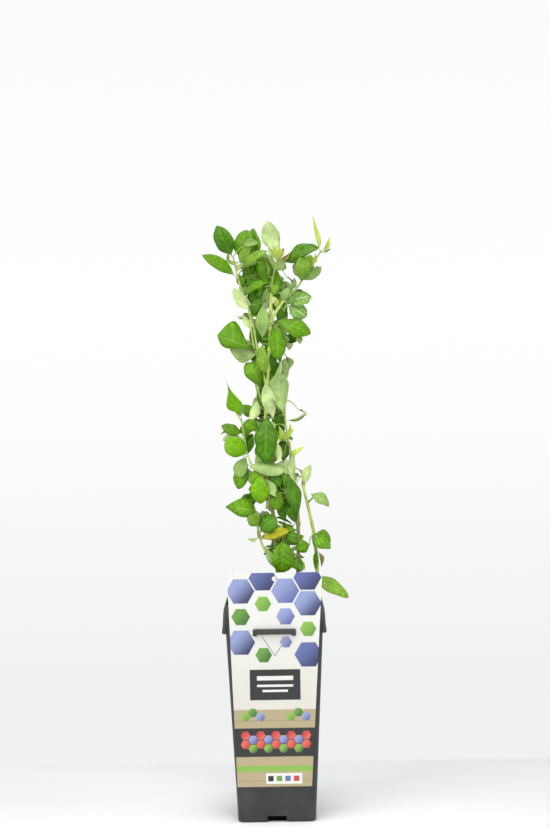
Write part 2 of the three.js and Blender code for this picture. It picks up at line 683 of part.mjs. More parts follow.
const LOOKS = {
  plastic: { color: 0x3c3e3e, roughness: 0.5, metalness: 0 },
  peat: { color: 0x3a2a1e, roughness: 1, metalness: 0 },
  card: { color: 0xefebe4, roughness: 0.4, metalness: 0 },
  bark: { color: 0x7a8f3c, roughness: 0.8, metalness: 0 },
  leaf: { color: 0x4f8f1e, roughness: 0.5, metalness: 0 },
};

const plant = new THREE.Group();

function addPiece(name, solid, look) {
  const mesh = new THREE.Mesh(geometryOf(solid), new THREE.MeshStandardMaterial(LOOKS[look]));
  mesh.name = name;
  plant.add(mesh);
}

addPiece('pot', makePot(), 'plastic');
addPiece('soil', makeSoil(), 'peat');
addPiece('label', makeLabel(), 'card');
for (const limb of LIMBS) addPiece(limb.name, makeLimb(limb), 'bark');
for (const [name, solid] of makeMasses()) addPiece(name, wholeBody(solid), 'leaf');

export default plant;
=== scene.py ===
"""The looks of a young blueberry bush in a tall square pot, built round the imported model.

Sizes are in millimetres until a mesh is made, +Z up, with the front towards -Y.
"""

from itertools import product
import math

import bpy
from mathutils import Matrix, Vector, noise


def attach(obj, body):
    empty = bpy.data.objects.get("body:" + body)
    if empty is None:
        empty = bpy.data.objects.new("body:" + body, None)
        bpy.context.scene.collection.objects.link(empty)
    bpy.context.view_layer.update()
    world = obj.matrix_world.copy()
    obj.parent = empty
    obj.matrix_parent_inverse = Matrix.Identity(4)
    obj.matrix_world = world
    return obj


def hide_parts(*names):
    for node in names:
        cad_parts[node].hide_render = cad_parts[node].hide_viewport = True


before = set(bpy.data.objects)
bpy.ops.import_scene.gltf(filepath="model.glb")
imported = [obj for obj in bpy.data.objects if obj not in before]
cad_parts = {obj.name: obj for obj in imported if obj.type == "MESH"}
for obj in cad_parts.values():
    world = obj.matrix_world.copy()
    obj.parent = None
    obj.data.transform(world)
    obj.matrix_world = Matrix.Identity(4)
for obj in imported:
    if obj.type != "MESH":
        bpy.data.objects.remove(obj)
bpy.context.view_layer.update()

MM = 0.001

# ---------------------------------------------------------------- sizes

POT = {
    "base_half": 41, "shoulder_half": 51, "shoulder_height": 200,
    "ledge_half": 55, "ledge_height": 5,
    "collar_foot_half": 54.4, "collar_top_half": 51.9, "collar_bend": 224,
    "height": 230, "wall": 1.7, "floor": 2.5, "corner": 7, "chamfer": 1.5,
}
TAPER = (POT["shoulder_half"] - POT["base_half"]) / POT["shoulder_height"]
CORNER_STEPS = 14
EDGE = 0.35  # rounding of the moulded edges
NOTCH = {"half": 10, "height": 6.4, "depth": 7, "wall": 1.6}
DRAIN = {"radius": 4, "offset": 22, "sides": 28}
SLOT = {"y": 39, "half": 5, "bottom": 212.5, "top": 219.5, "reach": 70}
SEAT = {"aside": 1.4, "depth": 12, "height": 40}  # the recess that the label leans in
CLIP = {"half": 22, "bottom": 199.5, "height": 5.6, "depth": 3, "leg": 3.2, "leg_drop": 1.5}
LABEL = {"top": 264.5, "top_half": 50, "thickness": 0.8}
SOIL_TOP = 207
SOIL_STEPS, CRUMB_STEPS = 60, 24  # faces along each side of the soil's top and of its crumbs
CRUMB_MARGIN, CRUMB_LIFT = 6, 0.1  # crumbs lie that far within the shoulder, over the soil
BEVEL_FROM, SHARP_FROM = 50, 32  # degrees at which an edge of the pot is rounded and looks sharp
CLEAR = 0.3  # gap between parts that fit into each other

STEM_RADIUS = 1.3  # of a mass of foliage's own stem, at its foot
STEM_TAPER = 0.6  # and its tip's share of it
TWIG_RADIUS, PETIOLE_RADIUS = 0.75, 0.5  # of a ruled twig, at its foot and tip
SHOWN_PETIOLE = (0.65, 0.4)  # foot and tip radius of a shown leaf's twig
LIMB_SPACING, STEM_SPACING = 1.2, 2.5  # of the points along a limb and a mass's own stem
FOOT_LENGTH = 4  # bare foot of a mass's own stem
TIP_LENGTH = 1.5  # and its bare tip
TWIGGED = (0.21, 0.77)  # where the ruled twigs start on a mass's stem, and the share they take
LIMB_SIDES = 18
SCAR_STEP = 21.0  # between two leaf scars on a limb
SCAR = (0.45, 1.7)  # height of a scar as a share of the limb's radius, and half its length
SWELLING = (0.16, 2.6)  # the same, of the limb round it
GROOVE = 0.1  # depth of the bark's grooves as a share of the radius
STOUT = 1.35  # foot radius from which a limb flares at its foot
FLARE = (0.5, 5)  # by that share of its radius, fading over that length
GOLDEN_ANGLE = 137.5  # degrees round a stem, from each twig or leaf to the next
LEAF_THICKNESS = 0.011  # as a share of a leaf's length
LEAF_GAP = 1.8  # least distance from a ruled leaf's test points to those of any other leaf
LIMB_GAP = 1.3  # least distance from them to the bark of a limb
LIMB_ENDS = 4  # how far past its ends a limb still counts
SOIL_GAP = 3  # least height of a ruled leaf over the soil
VIEW_CELL = 2.0  # of the front view, in which ruled leaves stay behind shown ones
BEHIND = 3.5  # how far
WITHIN = 0.62  # the least share of each that has a shown leaf or limb before it
LIMB_COVER = 2  # half the width of the front view that a limb covers
OVERHANG = 5  # how far ruled leaves may pass the box of the mass that they belong to
LEAF_FACING = 0.75  # how much a leaf's upper side faces front, or back where the leaf heads back
HEADS_BACK = 6  # which a leaf does whose tip is so much further back than its base
SHOWN_RISE, RULED_RISE = 0.3, 0.66  # how much the upper side faces up

# ---------------------------------------------------------------- the plant's plan

# Name: foot radius, tip radius, limb and height it leaves from, route.
LIMBS = {
    "stem_centre": (2.3, 1.8, None, None, [
        (5, 4, 207), (4, 4, 273), (1, 4, 319), (-4, 4, 350), (-6, 3, 413), (-3, 2, 462),
        (-1, 0, 490), (1, -2, 530), (2, -2, 560)]),
    "stem_middle": (2.5, 1.5, None, None, [
        (23, 0, 207), (27, 1, 273), (27, 0, 325), (25, 0, 348), (21, -2, 370), (20, -2, 392)]),
    "stem_right": (2.2, 1.4, None, None, [
        (42, 3, 207), (47, 3, 260), (46, 3, 285), (43, 4, 308), (38, 4, 332), (33, 6, 354)]),
    "stem_low_left": (1.6, 1.1, None, None, [
        (11, -9, 207), (6, -11, 261), (-3, -12, 275), (-9, -12, 285), (-14, -10, 297)]),
    "bough_left": (1.6, 1.3, "stem_centre", 458, [
        (-10, 1, 480), (-14, 1, 505), (-19, 0, 534), (-23, -2, 550)]),
    "bough_upright": (1.6, 1.3, "stem_centre", 528, [(7, -5, 540), (17, -8, 554)]),
    "bough_mid_left": (1.2, 0.9, "stem_centre", 356, [
        (-14, 1, 366), (-22, -1, 377), (-27, -2, 390)]),
}

# Each mass: the limb and height it leaves from, its ruled twigs (count, leaf size, first heading,
# seed), its own stem's route, and the leaves that show as (base, tip, width, tint, turn, form).
MASSES = {
    "foliage_top_left": ("bough_left", None, (7, 27, 150, 11),
        [(-30, -4, 566), (-35, -5, 584), (-38, -4, 600)], [
        ((-39, -4, 600), (-56, -7, 633), 22, "deep", 0, "plain"),
        ((-36, -5, 579), (-70, -14, 602), 14, "green", 10, "plain"),
        ((-34, -2, 594), (-48, 4, 598), 5, "under", 0, "young"),
        ((-24, 1, 590), (-25, 5, 630), 23, "green", 0, "blunt"),
        ((-14, 5, 592), (-17, 8, 632), 17, "green", 0, "plain"),
        ((-27, -12, 611), (-11, -16, 614), 10, "soft", 0, "cupped"),
        ((-30, -8, 590), (-20, -12, 615), 16, "mild", -10, "plain"),
        ((-30, -11, 586), (-2, -18, 605), 14, "mild", 10, "plain"),
        ((-26, 2, 566), (-34, 4, 582), 9, "green", 0, "plain")]),
    "foliage_top_middle": ("stem_centre", None, (10, 28, 240, 12),
        [(5, -2, 580), (10, -4, 596)], [
        ((11, -2, 601), (-2, 2, 637), 20, "pale", 0, "blunt"),
        ((9, -8, 594), (5, -12, 610), 8, "new", 0, "young"),
        ((10, -8, 596), (12, -12, 609), 7, "new", 20, "young"),
        ((12, -7, 598), (17, -11, 608), 5, "dry", 0, "twisted"),
        ((13, -6, 596), (24, -10, 604), 5, "dry", 40, "young"),
        ((17, -6, 593), (53, -12, 609), 17, "deep", -10, "blunt"),
        ((2, -9, 571), (-28, -13, 561), 12, "green", 25, "drooping"),
        ((9, 2, 554), (7, 4, 588), 12, "green", 0, "wavy"),
        ((-1, -5, 577), (-6, -8, 598), 6, "green", 40, "young"),
        ((1, -4, 592), (-9, -7, 597), 4, "dry", 20, "young"),
        ((-6, 5, 560), (-23, 3, 590), 26, "deep", 0, "puckered"),
        ((-1, 3, 568), (-8, 0, 600), 17, "green", 0, "puckered"),
        ((-5, -3, 567), (-23, -4, 556), 13, "green", 0, "wavy"),
        ((4, -7, 557), (8, -10, 569), 9, "mild", 0, "broad"),
        ((-7, 0, 548), (-2, -3, 566), 9, "soft", 0, "plain"),
        ((9, 6, 585), (12, 30, 600), 16, "green", 0, "plain")]),
    "foliage_top_right": ("bough_upright", None, (3, 22, 70, 13),
        [(27, -8, 562), (37, -7, 575), (47, -5, 590), (56, -4, 604)], [
        ((34, -10, 571), (38, -18, 598), 19, "mild", 0, "blunt"),
        ((36, -5, 573), (57, -2, 588), 12, "soft", 0, "plain"),
        ((55, -4, 605), (48, -3, 644), 6, "new", 0, "spike"),
        ((58, -4, 604), (65, -2, 620), 5, "new", 0, "young"),
        ((58, -4, 603), (67, -6, 607), 3, "under", 0, "young"),
        ((46, -6, 590), (50, -8, 602), 5, "new", 0, "young"),
        ((22, -9, 562), (27, -12, 576), 7, "soft", 30, "cupped"),
        ((13, -9, 551), (22, -14, 565), 10, "soft", 0, "plain")]),
    "foliage_upper_left": ("bough_left", 492, (6, 25, 200, 14),
        [(-16, -6, 499), (-19, -9, 514), (-21, -10, 533)], [
        ((-15, -7, 499), (-56, -13, 516), 31, "green", 0, "angular"),
        ((-14, -2, 494), (-43, 2, 500), 19, "under", 0, "plain"),
        ((-22, -10, 541), (-38, -12, 566), 13, "pale", 0, "plain"),
        ((-18, -9, 520), (-29, -12, 537), 7, "pale", 10, "plain"),
        ((-18, -6, 533), (-10, -10, 556), 11, "deep", 0, "wavy"),
        ((-20, -4, 547), (-13, -6, 566), 10, "deep", 0, "cupped"),
        ((-13, -8, 535), (-18, -11, 549), 7, "under", 0, "plain"),
        ((-14, 3, 500), (-17, 5, 528), 12, "deep", 0, "plain")]),
    "foliage_upper_middle": ("stem_centre", 502, (10, 27, 250, 15),
        [(3, -8, 508), (4, -12, 522)], [
        ((-8, -10, 510), (-6, -15, 547), 15, "soft", 0, "plain"),
        ((7, -13, 527), (9, -18, 489), 20, "green", -10, "puckered"),
        ((-8, -12, 507), (-7, -15, 474), 13, "mild", 10, "blunt"),
        ((3, -6, 500), (4, -8, 476), 9, "deep", 0, "plain"),
        ((-2, 4, 500), (-8, 6, 526), 15, "deep", 0, "plain"),
        ((-8, 4, 480), (-8, 6, 456), 15, "deep", 0, "plain")]),
    "foliage_upper_right": ("stem_centre", 520, (6, 23, 60, 16),
        [(9, 2, 526), (14, 2, 537), (18, 2, 547)], [
        ((7, -9, 531), (44, -14, 517), 21, "green", 0, "blunt"),
        ((30, -12, 514), (32, -15, 505), 8, "soft", 0, "plain"),
        ((18, 1, 549), (45, -4, 556), 18, "bright", 0, "puckered"),
        ((20, 0, 547), (40, -3, 535), 20, "bright", 0, "puckered"),
        ((8, -6, 544), (4, -9, 557), 6, "new", 0, "young"),
        ((10, 2, 528), (13, 3, 546), 10, "deep", 0, "plain")]),
    "foliage_mid_left": ("bough_mid_left", None, (7, 25, 190, 17),
        [(-29, -3, 405), (-32, -4, 427)], [
        ((-32, -4, 428), (-49, -8, 473), 18, "fresh", 0, "long_tip"),
        ((-31, -4, 410), (-53, -8, 419), 13, "green", 0, "wavy"),
        ((-26, -5, 388), (-49, -12, 402), 23, "fresh", 0, "blunt"),
        ((-27, 2, 385), (-37, 0, 363), 17, "soft", 0, "blunt"),
        ((-25, 4, 376), (-38, 5, 350), 18, "green", 0, "plain"),
        ((-28, 2, 402), (-24, 6, 425), 14, "green", 0, "plain"),
        ((-26, 2, 386), (-21, 4, 410), 14, "deep", 0, "plain")]),
    "foliage_centre_left": ("stem_centre", 440, (9, 29, 240, 18),
        [(-11, -3, 448), (-14, -6, 462)], [
        ((-9, -1, 458), (-26, -1, 486), 19, "green", 0, "blunt"),
        ((3, -11, 424), (-6, -18, 463), 15, "pale", 0, "plain"),
        ((-14, 0, 446), (-22, -1, 423), 11, "pale", 0, "plain"),
        ((-9, 2, 434), (-6, 3, 466), 14, "deep", 0, "plain"),
        ((-4, -9, 452), (12, -16, 488), 7, "pale", 0, "young")]),
    "foliage_centre": ("stem_middle", None, (10, 26, 230, 19),
        [(17, -4, 408), (15, -5, 431), (16, -4, 448)], [
        ((14, -7, 430), (9, -17, 475), 22, "under", 0, "blunt"),
        ((13, 0, 460), (15, 0, 490), 12, "under", 0, "plain"),
        ((17, -2, 423), (39, 0, 433), 4, "soft", 60, "cupped"),
        ((11, -10, 402), (8, -14, 418), 5, "new", 0, "young"),
        ((13, -11, 401), (25, -15, 414), 5, "new", 0, "young"),
        ((15, -10, 403), (20, -13, 421), 5, "new", 20, "young"),
        ((9, -10, 400), (4, -13, 411), 5, "new", 0, "young"),
        ((20, -4, 384), (33, -12, 394), 6, "new", 0, "drooping"),
        ((8, 1, 428), (4, 2, 458), 13, "deep", 0, "plain"),
        ((13, 4, 438), (5, 8, 408), 16, "deep", 0, "plain"),
        ((12, 0, 378), (12, 3, 404), 14, "deep", 0, "plain"),
        ((9, 3, 450), (5, 6, 488), 16, "deep", 0, "plain")]),
    "foliage_front": ("stem_centre", 402, (9, 29, 250, 20),
        [(-4, -5, 406), (-4, -12, 418)], [
        ((-5, -12, 430), (-8, -19, 378), 27, "deep", 12, "wavy"),
        ((1, -14, 405), (8, -19, 380), 10, "pale", 15, "cupped"),
        ((-14, -8, 414), (-28, -9, 421), 13, "green", 0, "cupped"),
        ((-4, -15, 424), (2, -20, 410), 9, "under", 40, "twisted")]),
    "foliage_low_right": ("stem_right", None, (4, 22, 190, 21),
        [(33, 5, 362), (31, 2, 370)], [
        ((35, 4, 352), (41, 4, 375), 12, "pale", 15, "plain"),
        ((25, -4, 352), (22, -7, 389), 9, "pale", 20, "plain")]),
    "foliage_far_right": ("stem_right", 334, (1, 20, 20, 22),
        [(42, 0, 338), (44, -3, 341)], [
        ((41, -3, 344), (61, -6, 331), 15, "soft", 0, "plain")]),
    "foliage_inner_right": ("stem_middle", 352, (9, 25, 230, 33),
        [(18, -6, 352), (14, -10, 346)], [
        ((9, -11, 348), (4, -16, 328), 15, "green", 0, "blunt"),
        ((18, -12, 370), (-24, -17, 375), 15, "under", 0, "level"),
        ((17, -9, 366), (26, -13, 321), 16, "deep", 0, "plain"),
        ((11, -6, 366), (-2, -8, 350), 15, "deep", 0, "plain"),
        ((21, -10, 345), (12, -14, 366), 11, "deep", 0, "plain"),
        ((26, -2, 346), (22, -4, 316), 10, "mild", 0, "plain")]),
    "foliage_low_middle": ("stem_centre", 366, (8, 28, 230, 23),
        [(-8, -6, 366), (-9, -12, 362)], [
        ((-13, -11, 367), (-13, -16, 335), 20, "fresh", 0, "blunt"),
        ((-9, -13, 362), (4, -20, 342), 10, "under", 20, "twisted"),
        ((-16, -8, 374), (-20, -10, 352), 9, "fresh", 0, "plain")]),
    "foliage_base_left": ("stem_low_left", None, (6, 22, 260, 24),
        [(-16, -10, 308), (-17, -9, 327)], [
        ((-15, -9, 324), (-51, -6, 332), 21, "green", 0, "tapered"),
        ((-14, -9, 310), (-25, -12, 325), 15, "mild", 0, "plain"),
        ((-14, -11, 304), (4, -17, 319), 23, "deep", 0, "puckered"),
        ((-13, -13, 296), (17, -18, 306), 12, "yellow", 10, "wavy"),
        ((-15, -10, 299), (-28, -10, 298), 4, "under", 60, "young"),
        ((1, -6, 320), (22, -8, 311), 3, "deep", 0, "young")]),
    "foliage_base_middle": ("stem_middle", 306, (8, 24, 280, 25),
        [(20, -5, 304), (14, -8, 297)], [
        ((10, -10, 297), (9, -17, 261), 25, "green", 0, "blunt"),
        ((-8, -12, 288), (7, -15, 264), 9, "soft", 30, "plain"),
        ((24, -5, 303), (12, -9, 312), 8, "green", 0, "wavy"),
        ((14, -8, 305), (26, -12, 292), 13, "deep", 0, "wavy"),
        ((17, -9, 276), (31, -13, 262), 15, "deep", 0, "plain"),
        ((30, 0, 273), (33, -1, 262), 6, "under", 0, "plain"),
        ((25, -4, 312), (14, -7, 331), 10, "deep", 0, "plain")]),
    "foliage_base_right": ("stem_right", 296, (3, 20, 10, 26),
        [(43, -2, 298), (42, -7, 300)], [
        ((42, -7, 296), (62, -10, 286), 18, "green", 0, "plain"),
        ((44, -2, 301), (63, 2, 292), 16, "green", 0, "plain"),
        ((40, -7, 290), (24, -9, 286), 14, "green", 0, "plain"),
        ((46, -2, 283), (45, -5, 262), 6, "green", 30, "young"),
        ((48, -2, 282), (51, -4, 265), 5, "dry", 0, "young")]),
    "foliage_foot_right": ("stem_right", 246, (0, 22, 350, 27),
        [(50, -1, 250), (52, -2, 256)], [
        ((43, -3, 254), (80, -12, 233), 17, "mild", 0, "level")]),
    "foliage_rear_top": ("stem_centre", 548, (20, 28, 95, 28),
        [(2, 6, 556), (0, 14, 568), (4, 20, 580)], [
        ((3, 18, 580), (-6, 36, 607), 16, "green", 0, "plain")]),
    "foliage_rear_upper": ("stem_centre", 480, (20, 27, 80, 29),
        [(1, 9, 488), (2, 16, 508)], [
        ((3, 18, 508), (10, 40, 533), 18, "deep", 0, "broad")]),
    "foliage_rear_middle": ("stem_centre", 416, (20, 27, 100, 30),
        [(-4, 12, 424), (-4, 19, 444)], [
        ((-5, 20, 444), (-16, 42, 469), 18, "green", 0, "plain")]),
    "foliage_rear_low": ("stem_centre", 330, (20, 27, 80, 31),
        [(4, 12, 338), (6, 18, 356)], [
        ((7, 19, 356), (16, 42, 379), 18, "fresh", 0, "broad")]),
    "foliage_rear_base": ("stem_centre", 272, (14, 24, 90, 32),
        [(6, 12, 278), (8, 17, 290)], [
        ((6, 18, 288), (-6, 36, 307), 17, "green", 0, "plain")]),
}

# ---------------------------------------------------------------- nodes and materials


def srgb(red, green, blue):
    """A colour as it is seen, 0 to 255 a channel, as the linear colour that Blender holds."""
    def linear(value):
        share = value / 255
        return share / 12.92 if share <= 0.04045 else ((share + 0.055) / 1.055) ** 2.4
    return (linear(red), linear(green), linear(blue), 1.0)


def add(tree, kind, inputs=None, **settings):
    """Adds a node. Each input is a value, or the output socket that feeds it."""
    made = tree.nodes.new(kind)
    for name, value in settings.items():
        setattr(made, name, value)
    for key, value in (inputs or {}).items():
        if isinstance(value, bpy.types.NodeSocket):
            tree.links.new(value, made.inputs[key])
        else:
            made.inputs[key].default_value = value
    return made


def math_of(tree, operation, first, second=0.0, third=0.0):
    made = add(tree, "ShaderNodeMath", {0: first, 1: second, 2: third}, operation=operation)
    return made.outputs[0]


def ranged(tree, value, low, high, to_low=0.0, to_high=1.0, kind="SMOOTHSTEP"):
    """A value from low to high, mapped to to_low to to_high and kept between them."""
    made = add(tree, "ShaderNodeMapRange", {
        "Value": value, "From Min": low, "From Max": high, "To Min": to_low, "To Max": to_high,
    }, interpolation_type=kind)
    return made.outputs["Result"]


def mixed(tree, factor, first, second, blend_type="MIX"):
    made = add(tree, "ShaderNodeMix", {0: factor, 6: first, 7: second},
               data_type="RGBA", blend_type=blend_type)
    return made.outputs[2]


def noise_of(tree, vector, scale, detail=2.0, roughness=0.5):
    made = add(tree, "ShaderNodeTexNoise", {
        "Vector": vector, "Scale": scale, "Detail": detail, "Roughness": roughness})
    return made.outputs["Fac"]


def shaded(tree, colour, shade):
    """A colour multiplied by a number."""
    grey = add(tree, "ShaderNodeCombineColor", {0: shade, 1: shade, 2: shade}).outputs[0]
    return mixed(tree, 1.0, colour, grey, "MULTIPLY")


def bump_of(tree, height, distance, strength=1.0):
    made = add(tree, "ShaderNodeBump", {
        "Height": height, "Distance": distance, "Strength": strength})
    return made.outputs["Normal"]


def new_tree(name, kind, inputs, outputs):
    """A node tree with named sockets. Returns the tree and its input and output nodes."""
    tree = bpy.data.node_groups.new(name, kind)
    for socket, socket_kind, value in inputs:
        made = tree.interface.new_socket(socket, in_out="INPUT", socket_type=socket_kind)
        if value is not None:
            made.default_value = value
    for socket, socket_kind in outputs:
        tree.interface.new_socket(socket, in_out="OUTPUT", socket_type=socket_kind)
    return tree, tree.nodes.new("NodeGroupInput"), tree.nodes.new("NodeGroupOutput")


def new_group(name, inputs, outputs):
    return new_tree(name, "ShaderNodeTree", inputs, outputs)


def geometry_tree(name, inputs):
    """A Geometry Nodes tree with named inputs after the geometry."""
    geometry = ("Geometry", "NodeSocketGeometry")
    return new_tree(name, "GeometryNodeTree", [(*geometry, None), *inputs], [geometry])


def real_in(tree, instances, finish):
    """Makes instances real, in a finish."""
    real = add(tree, "GeometryNodeRealizeInstances", {"Geometry": instances})
    done = add(tree, "GeometryNodeSetMaterial", {
        "Geometry": real.outputs["Geometry"], "Material": finish})
    return done.outputs["Geometry"]


def placed(tree, group, inputs):
    """Places a shader node group in a tree."""
    return add(tree, "ShaderNodeGroup", inputs, node_tree=group)


def new_material(name, **sockets):
    """A material with plain numbers on its shader. Returns it, its tree and its shader."""
    material = bpy.data.materials.new(name)
    material.use_nodes = True
    tree = material.node_tree
    shader = tree.nodes["Principled BSDF"]
    for socket, value in sockets.items():
        shader.inputs[socket.replace("_", " ")].default_value = value
    return material, tree, shader


def feed(tree, shader, **sockets):
    """Joins what changes over the surface to the shader."""
    for socket, output in sockets.items():
        tree.links.new(output, shader.inputs[socket.replace("_", " ")])


def in_object(tree):
    """The piece's own coordinates, in metres."""
    return add(tree, "ShaderNodeTexCoord").outputs["Object"]


def make_mottle():
    """Soft cloudy variation round 1, for multiplying a colour."""
    group, ins, outs = new_group("mottle", [
        ("Vector", "NodeSocketVector", None), ("Scale", "NodeSocketFloat", 60.0),
        ("Amount", "NodeSocketFloat", 0.2)], [("Shade", "NodeSocketFloat")])
    cloud = noise_of(group, ins.outputs["Vector"], ins.outputs["Scale"], 3.0, 0.6)
    swing = math_of(group, "MULTIPLY", math_of(group, "SUBTRACT", cloud, 0.5),
                    math_of(group, "MULTIPLY", ins.outputs["Amount"], 2.0))
    group.links.new(math_of(group, "ADD", swing, 1.0), outs.inputs["Shade"])
    return group


def make_grain():
    """Fine relief of a moulded or fibrous surface."""
    group, ins, outs = new_group("grain", [
        ("Vector", "NodeSocketVector", None), ("Scale", "NodeSocketFloat", 900.0),
        ("Stretch", "NodeSocketVector", (1.0, 1.0, 1.0))], [("Height", "NodeSocketFloat")])
    turned = add(group, "ShaderNodeVectorMath", {
        0: ins.outputs["Vector"], 1: ins.outputs["Stretch"]}, operation="MULTIPLY")
    fine = noise_of(group, turned.outputs[0], ins.outputs["Scale"], 4.0, 0.65)
    group.links.new(fine, outs.inputs["Height"])
    return group


def make_veins():
    """A leaf's ribs from its own map: across 0 to 1, along 0 at the stalk to 1 at the tip."""
    group, ins, outs = new_group("leaf_veins", [
        ("Map", "NodeSocketVector", None), ("Pairs", "NodeSocketFloat", 6.0)],
        [("Ribs", "NodeSocketFloat"), ("Puff", "NodeSocketFloat")])
    parts = add(group, "ShaderNodeSeparateXYZ", {0: ins.outputs["Map"]})
    aside = math_of(group, "ABSOLUTE", math_of(group, "SUBTRACT", parts.outputs["X"], 0.5))
    wander = noise_of(group, ins.outputs["Map"], 3.2, 1.0)
    midrib = ranged(group, aside, 0.012, 0.045, 1.0, 0.0)
    bent = math_of(group, "POWER", math_of(group, "MULTIPLY", aside, 2.0), 0.8)
    bent = math_of(group, "MULTIPLY_ADD", wander, 0.9, math_of(group, "SUBTRACT", bent, 0.45))
    swept = math_of(group, "SUBTRACT", parts.outputs["Y"], math_of(group, "MULTIPLY", bent, 0.2))
    cycle = math_of(group, "FRACT", math_of(group, "MULTIPLY", swept, ins.outputs["Pairs"]))
    near = math_of(group, "ABSOLUTE", math_of(group, "SUBTRACT", cycle, 0.5))
    side = ranged(group, near, 0.04, 0.13, 0.45, 0.0)
    fade = ranged(group, aside, 0.36, 0.49, 1.0, 0.0)
    side = math_of(group, "MULTIPLY", side, fade)
    edge = ranged(group, aside, 0.455, 0.495, 0.0, 0.8)
    lines = math_of(group, "MAXIMUM", math_of(group, "MAXIMUM", midrib, side), edge)
    group.links.new(lines, outs.inputs["Ribs"])
    puff = math_of(group, "MULTIPLY", ranged(group, near, 0.0, 0.5), fade)
    group.links.new(puff, outs.inputs["Puff"])
    return group


mottle = make_mottle()
grain = make_grain()
veins = make_veins()

LEAF_GLEAM = (0.86, 1.0, 0.5, 1.0)  # tint of what a leaf reflects

# One side of each kind of leaf: colour, colour of the ribs, roughness, height of the ribs beside
# the blade's puffs, how far the ribs take their colour, and the depth of the relief.
LEAF_LOOKS = {
    "underside": ((154, 180, 110), (190, 212, 150), 0.5, 0.9, 0.4, 0.28),
    "pale": ((194, 214, 146), (214, 232, 174), 0.5, 0.9, 0.4, 0.28),
    "deep": ((58, 107, 0), (116, 164, 62), 0.3, -0.9, 0.4, 0.28),
    "green": ((81, 131, 0), (142, 184, 72), 0.3, -0.9, 0.4, 0.28),
    "fresh": ((99, 154, 0), (146, 192, 56), 0.32, -0.9, 0.35, 0.28),
    "mild": ((104, 143, 38), (154, 192, 96), 0.3, -0.9, 0.4, 0.28),
    "bright": ((114, 158, 64), (206, 230, 176), 0.25, -1, 0.8, 0.28),
    # soft: a grey-green upper side whose paleness is painted sheen of a glossy leaf.
    "soft": ((124, 157, 80), (180, 208, 142), 0.36, -0.9, 0.45, 0.28),
    "new": ((186, 206, 92), (206, 222, 126), 0.5, 0.3, 0.2, 0.0),
    "yellow": ((168, 166, 34), (200, 200, 80), 0.5, -0.8, 0.35, 0.28),
    "dry": ((162, 146, 88), (184, 166, 112), 0.7, -0.8, 0.3, 0.28),
}
# Colours of bark at its foot, higher up and at the top, with the heights that the last two reach
# in full.
BARK_LOOKS = {
    "woody_bark": ((104, 80, 56), (138, 142, 62), (204, 224, 116), 305, 430),
    "green_bark": ((126, 104, 66), (166, 194, 78), (206, 226, 126), 290, 420),
    "green_twig": ((104, 92, 50), (122, 142, 60), (166, 190, 96), 260, 430),
}


def leaf_finish(kind):
    """One side of a leaf: a plain colour with its ribs and the blade puffed up between them."""
    colour, rib_colour, rough, rib_height, rib_share, depth = LEAF_LOOKS[kind]
    material, tree, shader = new_material("leaf_" + kind, Roughness=rough, IOR=1.45,
                                          Specular_IOR_Level=0.36, Specular_Tint=LEAF_GLEAM)
    leaf_map = add(tree, "ShaderNodeUVMap", uv_map="leaf_map").outputs["UV"]
    ribs = placed(tree, veins, {"Map": leaf_map, "Pairs": 6.0})
    ribbed = mixed(tree, math_of(tree, "MULTIPLY", ribs.outputs["Ribs"], rib_share),
                   srgb(*colour), srgb(*rib_colour))
    shade = placed(tree, mottle, {"Vector": in_object(tree), "Scale": 70.0, "Amount": 0.7})
    relief = math_of(tree, "MULTIPLY_ADD", ribs.outputs["Ribs"], rib_height, ribs.outputs["Puff"])
    feed(tree, shader, Base_Color=shaded(tree, ribbed, shade.outputs["Shade"]),
         Normal=bump_of(tree, relief, depth * MM, 0.7))
    return material


def bark_finish(name):
    """Young bark, woody at its foot and paler towards its tip, by height."""
    *tones, middle_full, top_full = BARK_LOOKS[name]
    foot, middle, top = (srgb(*tone) for tone in tones)
    material, tree, shader = new_material(name, Roughness=0.55, IOR=1.45)
    place = in_object(tree)
    height = add(tree, "ShaderNodeSeparateXYZ", {0: place}).outputs["Z"]
    wander = math_of(tree, "MULTIPLY_ADD", noise_of(tree, place, 45.0), 0.05, -0.025)
    height = math_of(tree, "ADD", height, wander)
    lower = mixed(tree, ranged(tree, height, SOIL_TOP * MM, middle_full * MM), foot, middle)
    colour = mixed(tree, ranged(tree, height, middle_full * MM, top_full * MM), lower, top)
    streaks = placed(tree, grain, {"Vector": place, "Scale": 700.0, "Stretch": (1.0, 1.0, 0.15)})
    streaks = streaks.outputs["Height"]
    streaked = shaded(tree, colour, ranged(tree, streaks, 0.35, 0.6, 0.55, 1.1))
    feed(tree, shader, Base_Color=mixed(tree, 0.7, colour, streaked),
         Normal=bump_of(tree, streaks, 0.25 * MM))
    return material


def in_notch(tree, place):
    """Mask of the recessed walls of the four notches in the pot's foot, where shade is painted."""
    parts = add(tree, "ShaderNodeSeparateXYZ", {0: place}).outputs
    aside = [math_of(tree, "ABSOLUTE", parts[axis]) for axis in "XY"]
    soft = 0.2  # half the width of the mask's blurred edge
    bounds = [
        (math_of(tree, "MAXIMUM", *aside), POT["base_half"] - 1),
        (math_of(tree, "MINIMUM", *aside), NOTCH["half"] + soft),
        (parts["Z"], NOTCH["height"] + soft),
    ]
    mask = 1.0
    for value, limit in bounds:
        within = ranged(tree, value, (limit - soft) * MM, (limit + soft) * MM, 1.0, 0.0)
        mask = math_of(tree, "MULTIPLY", within, mask)
    return mask


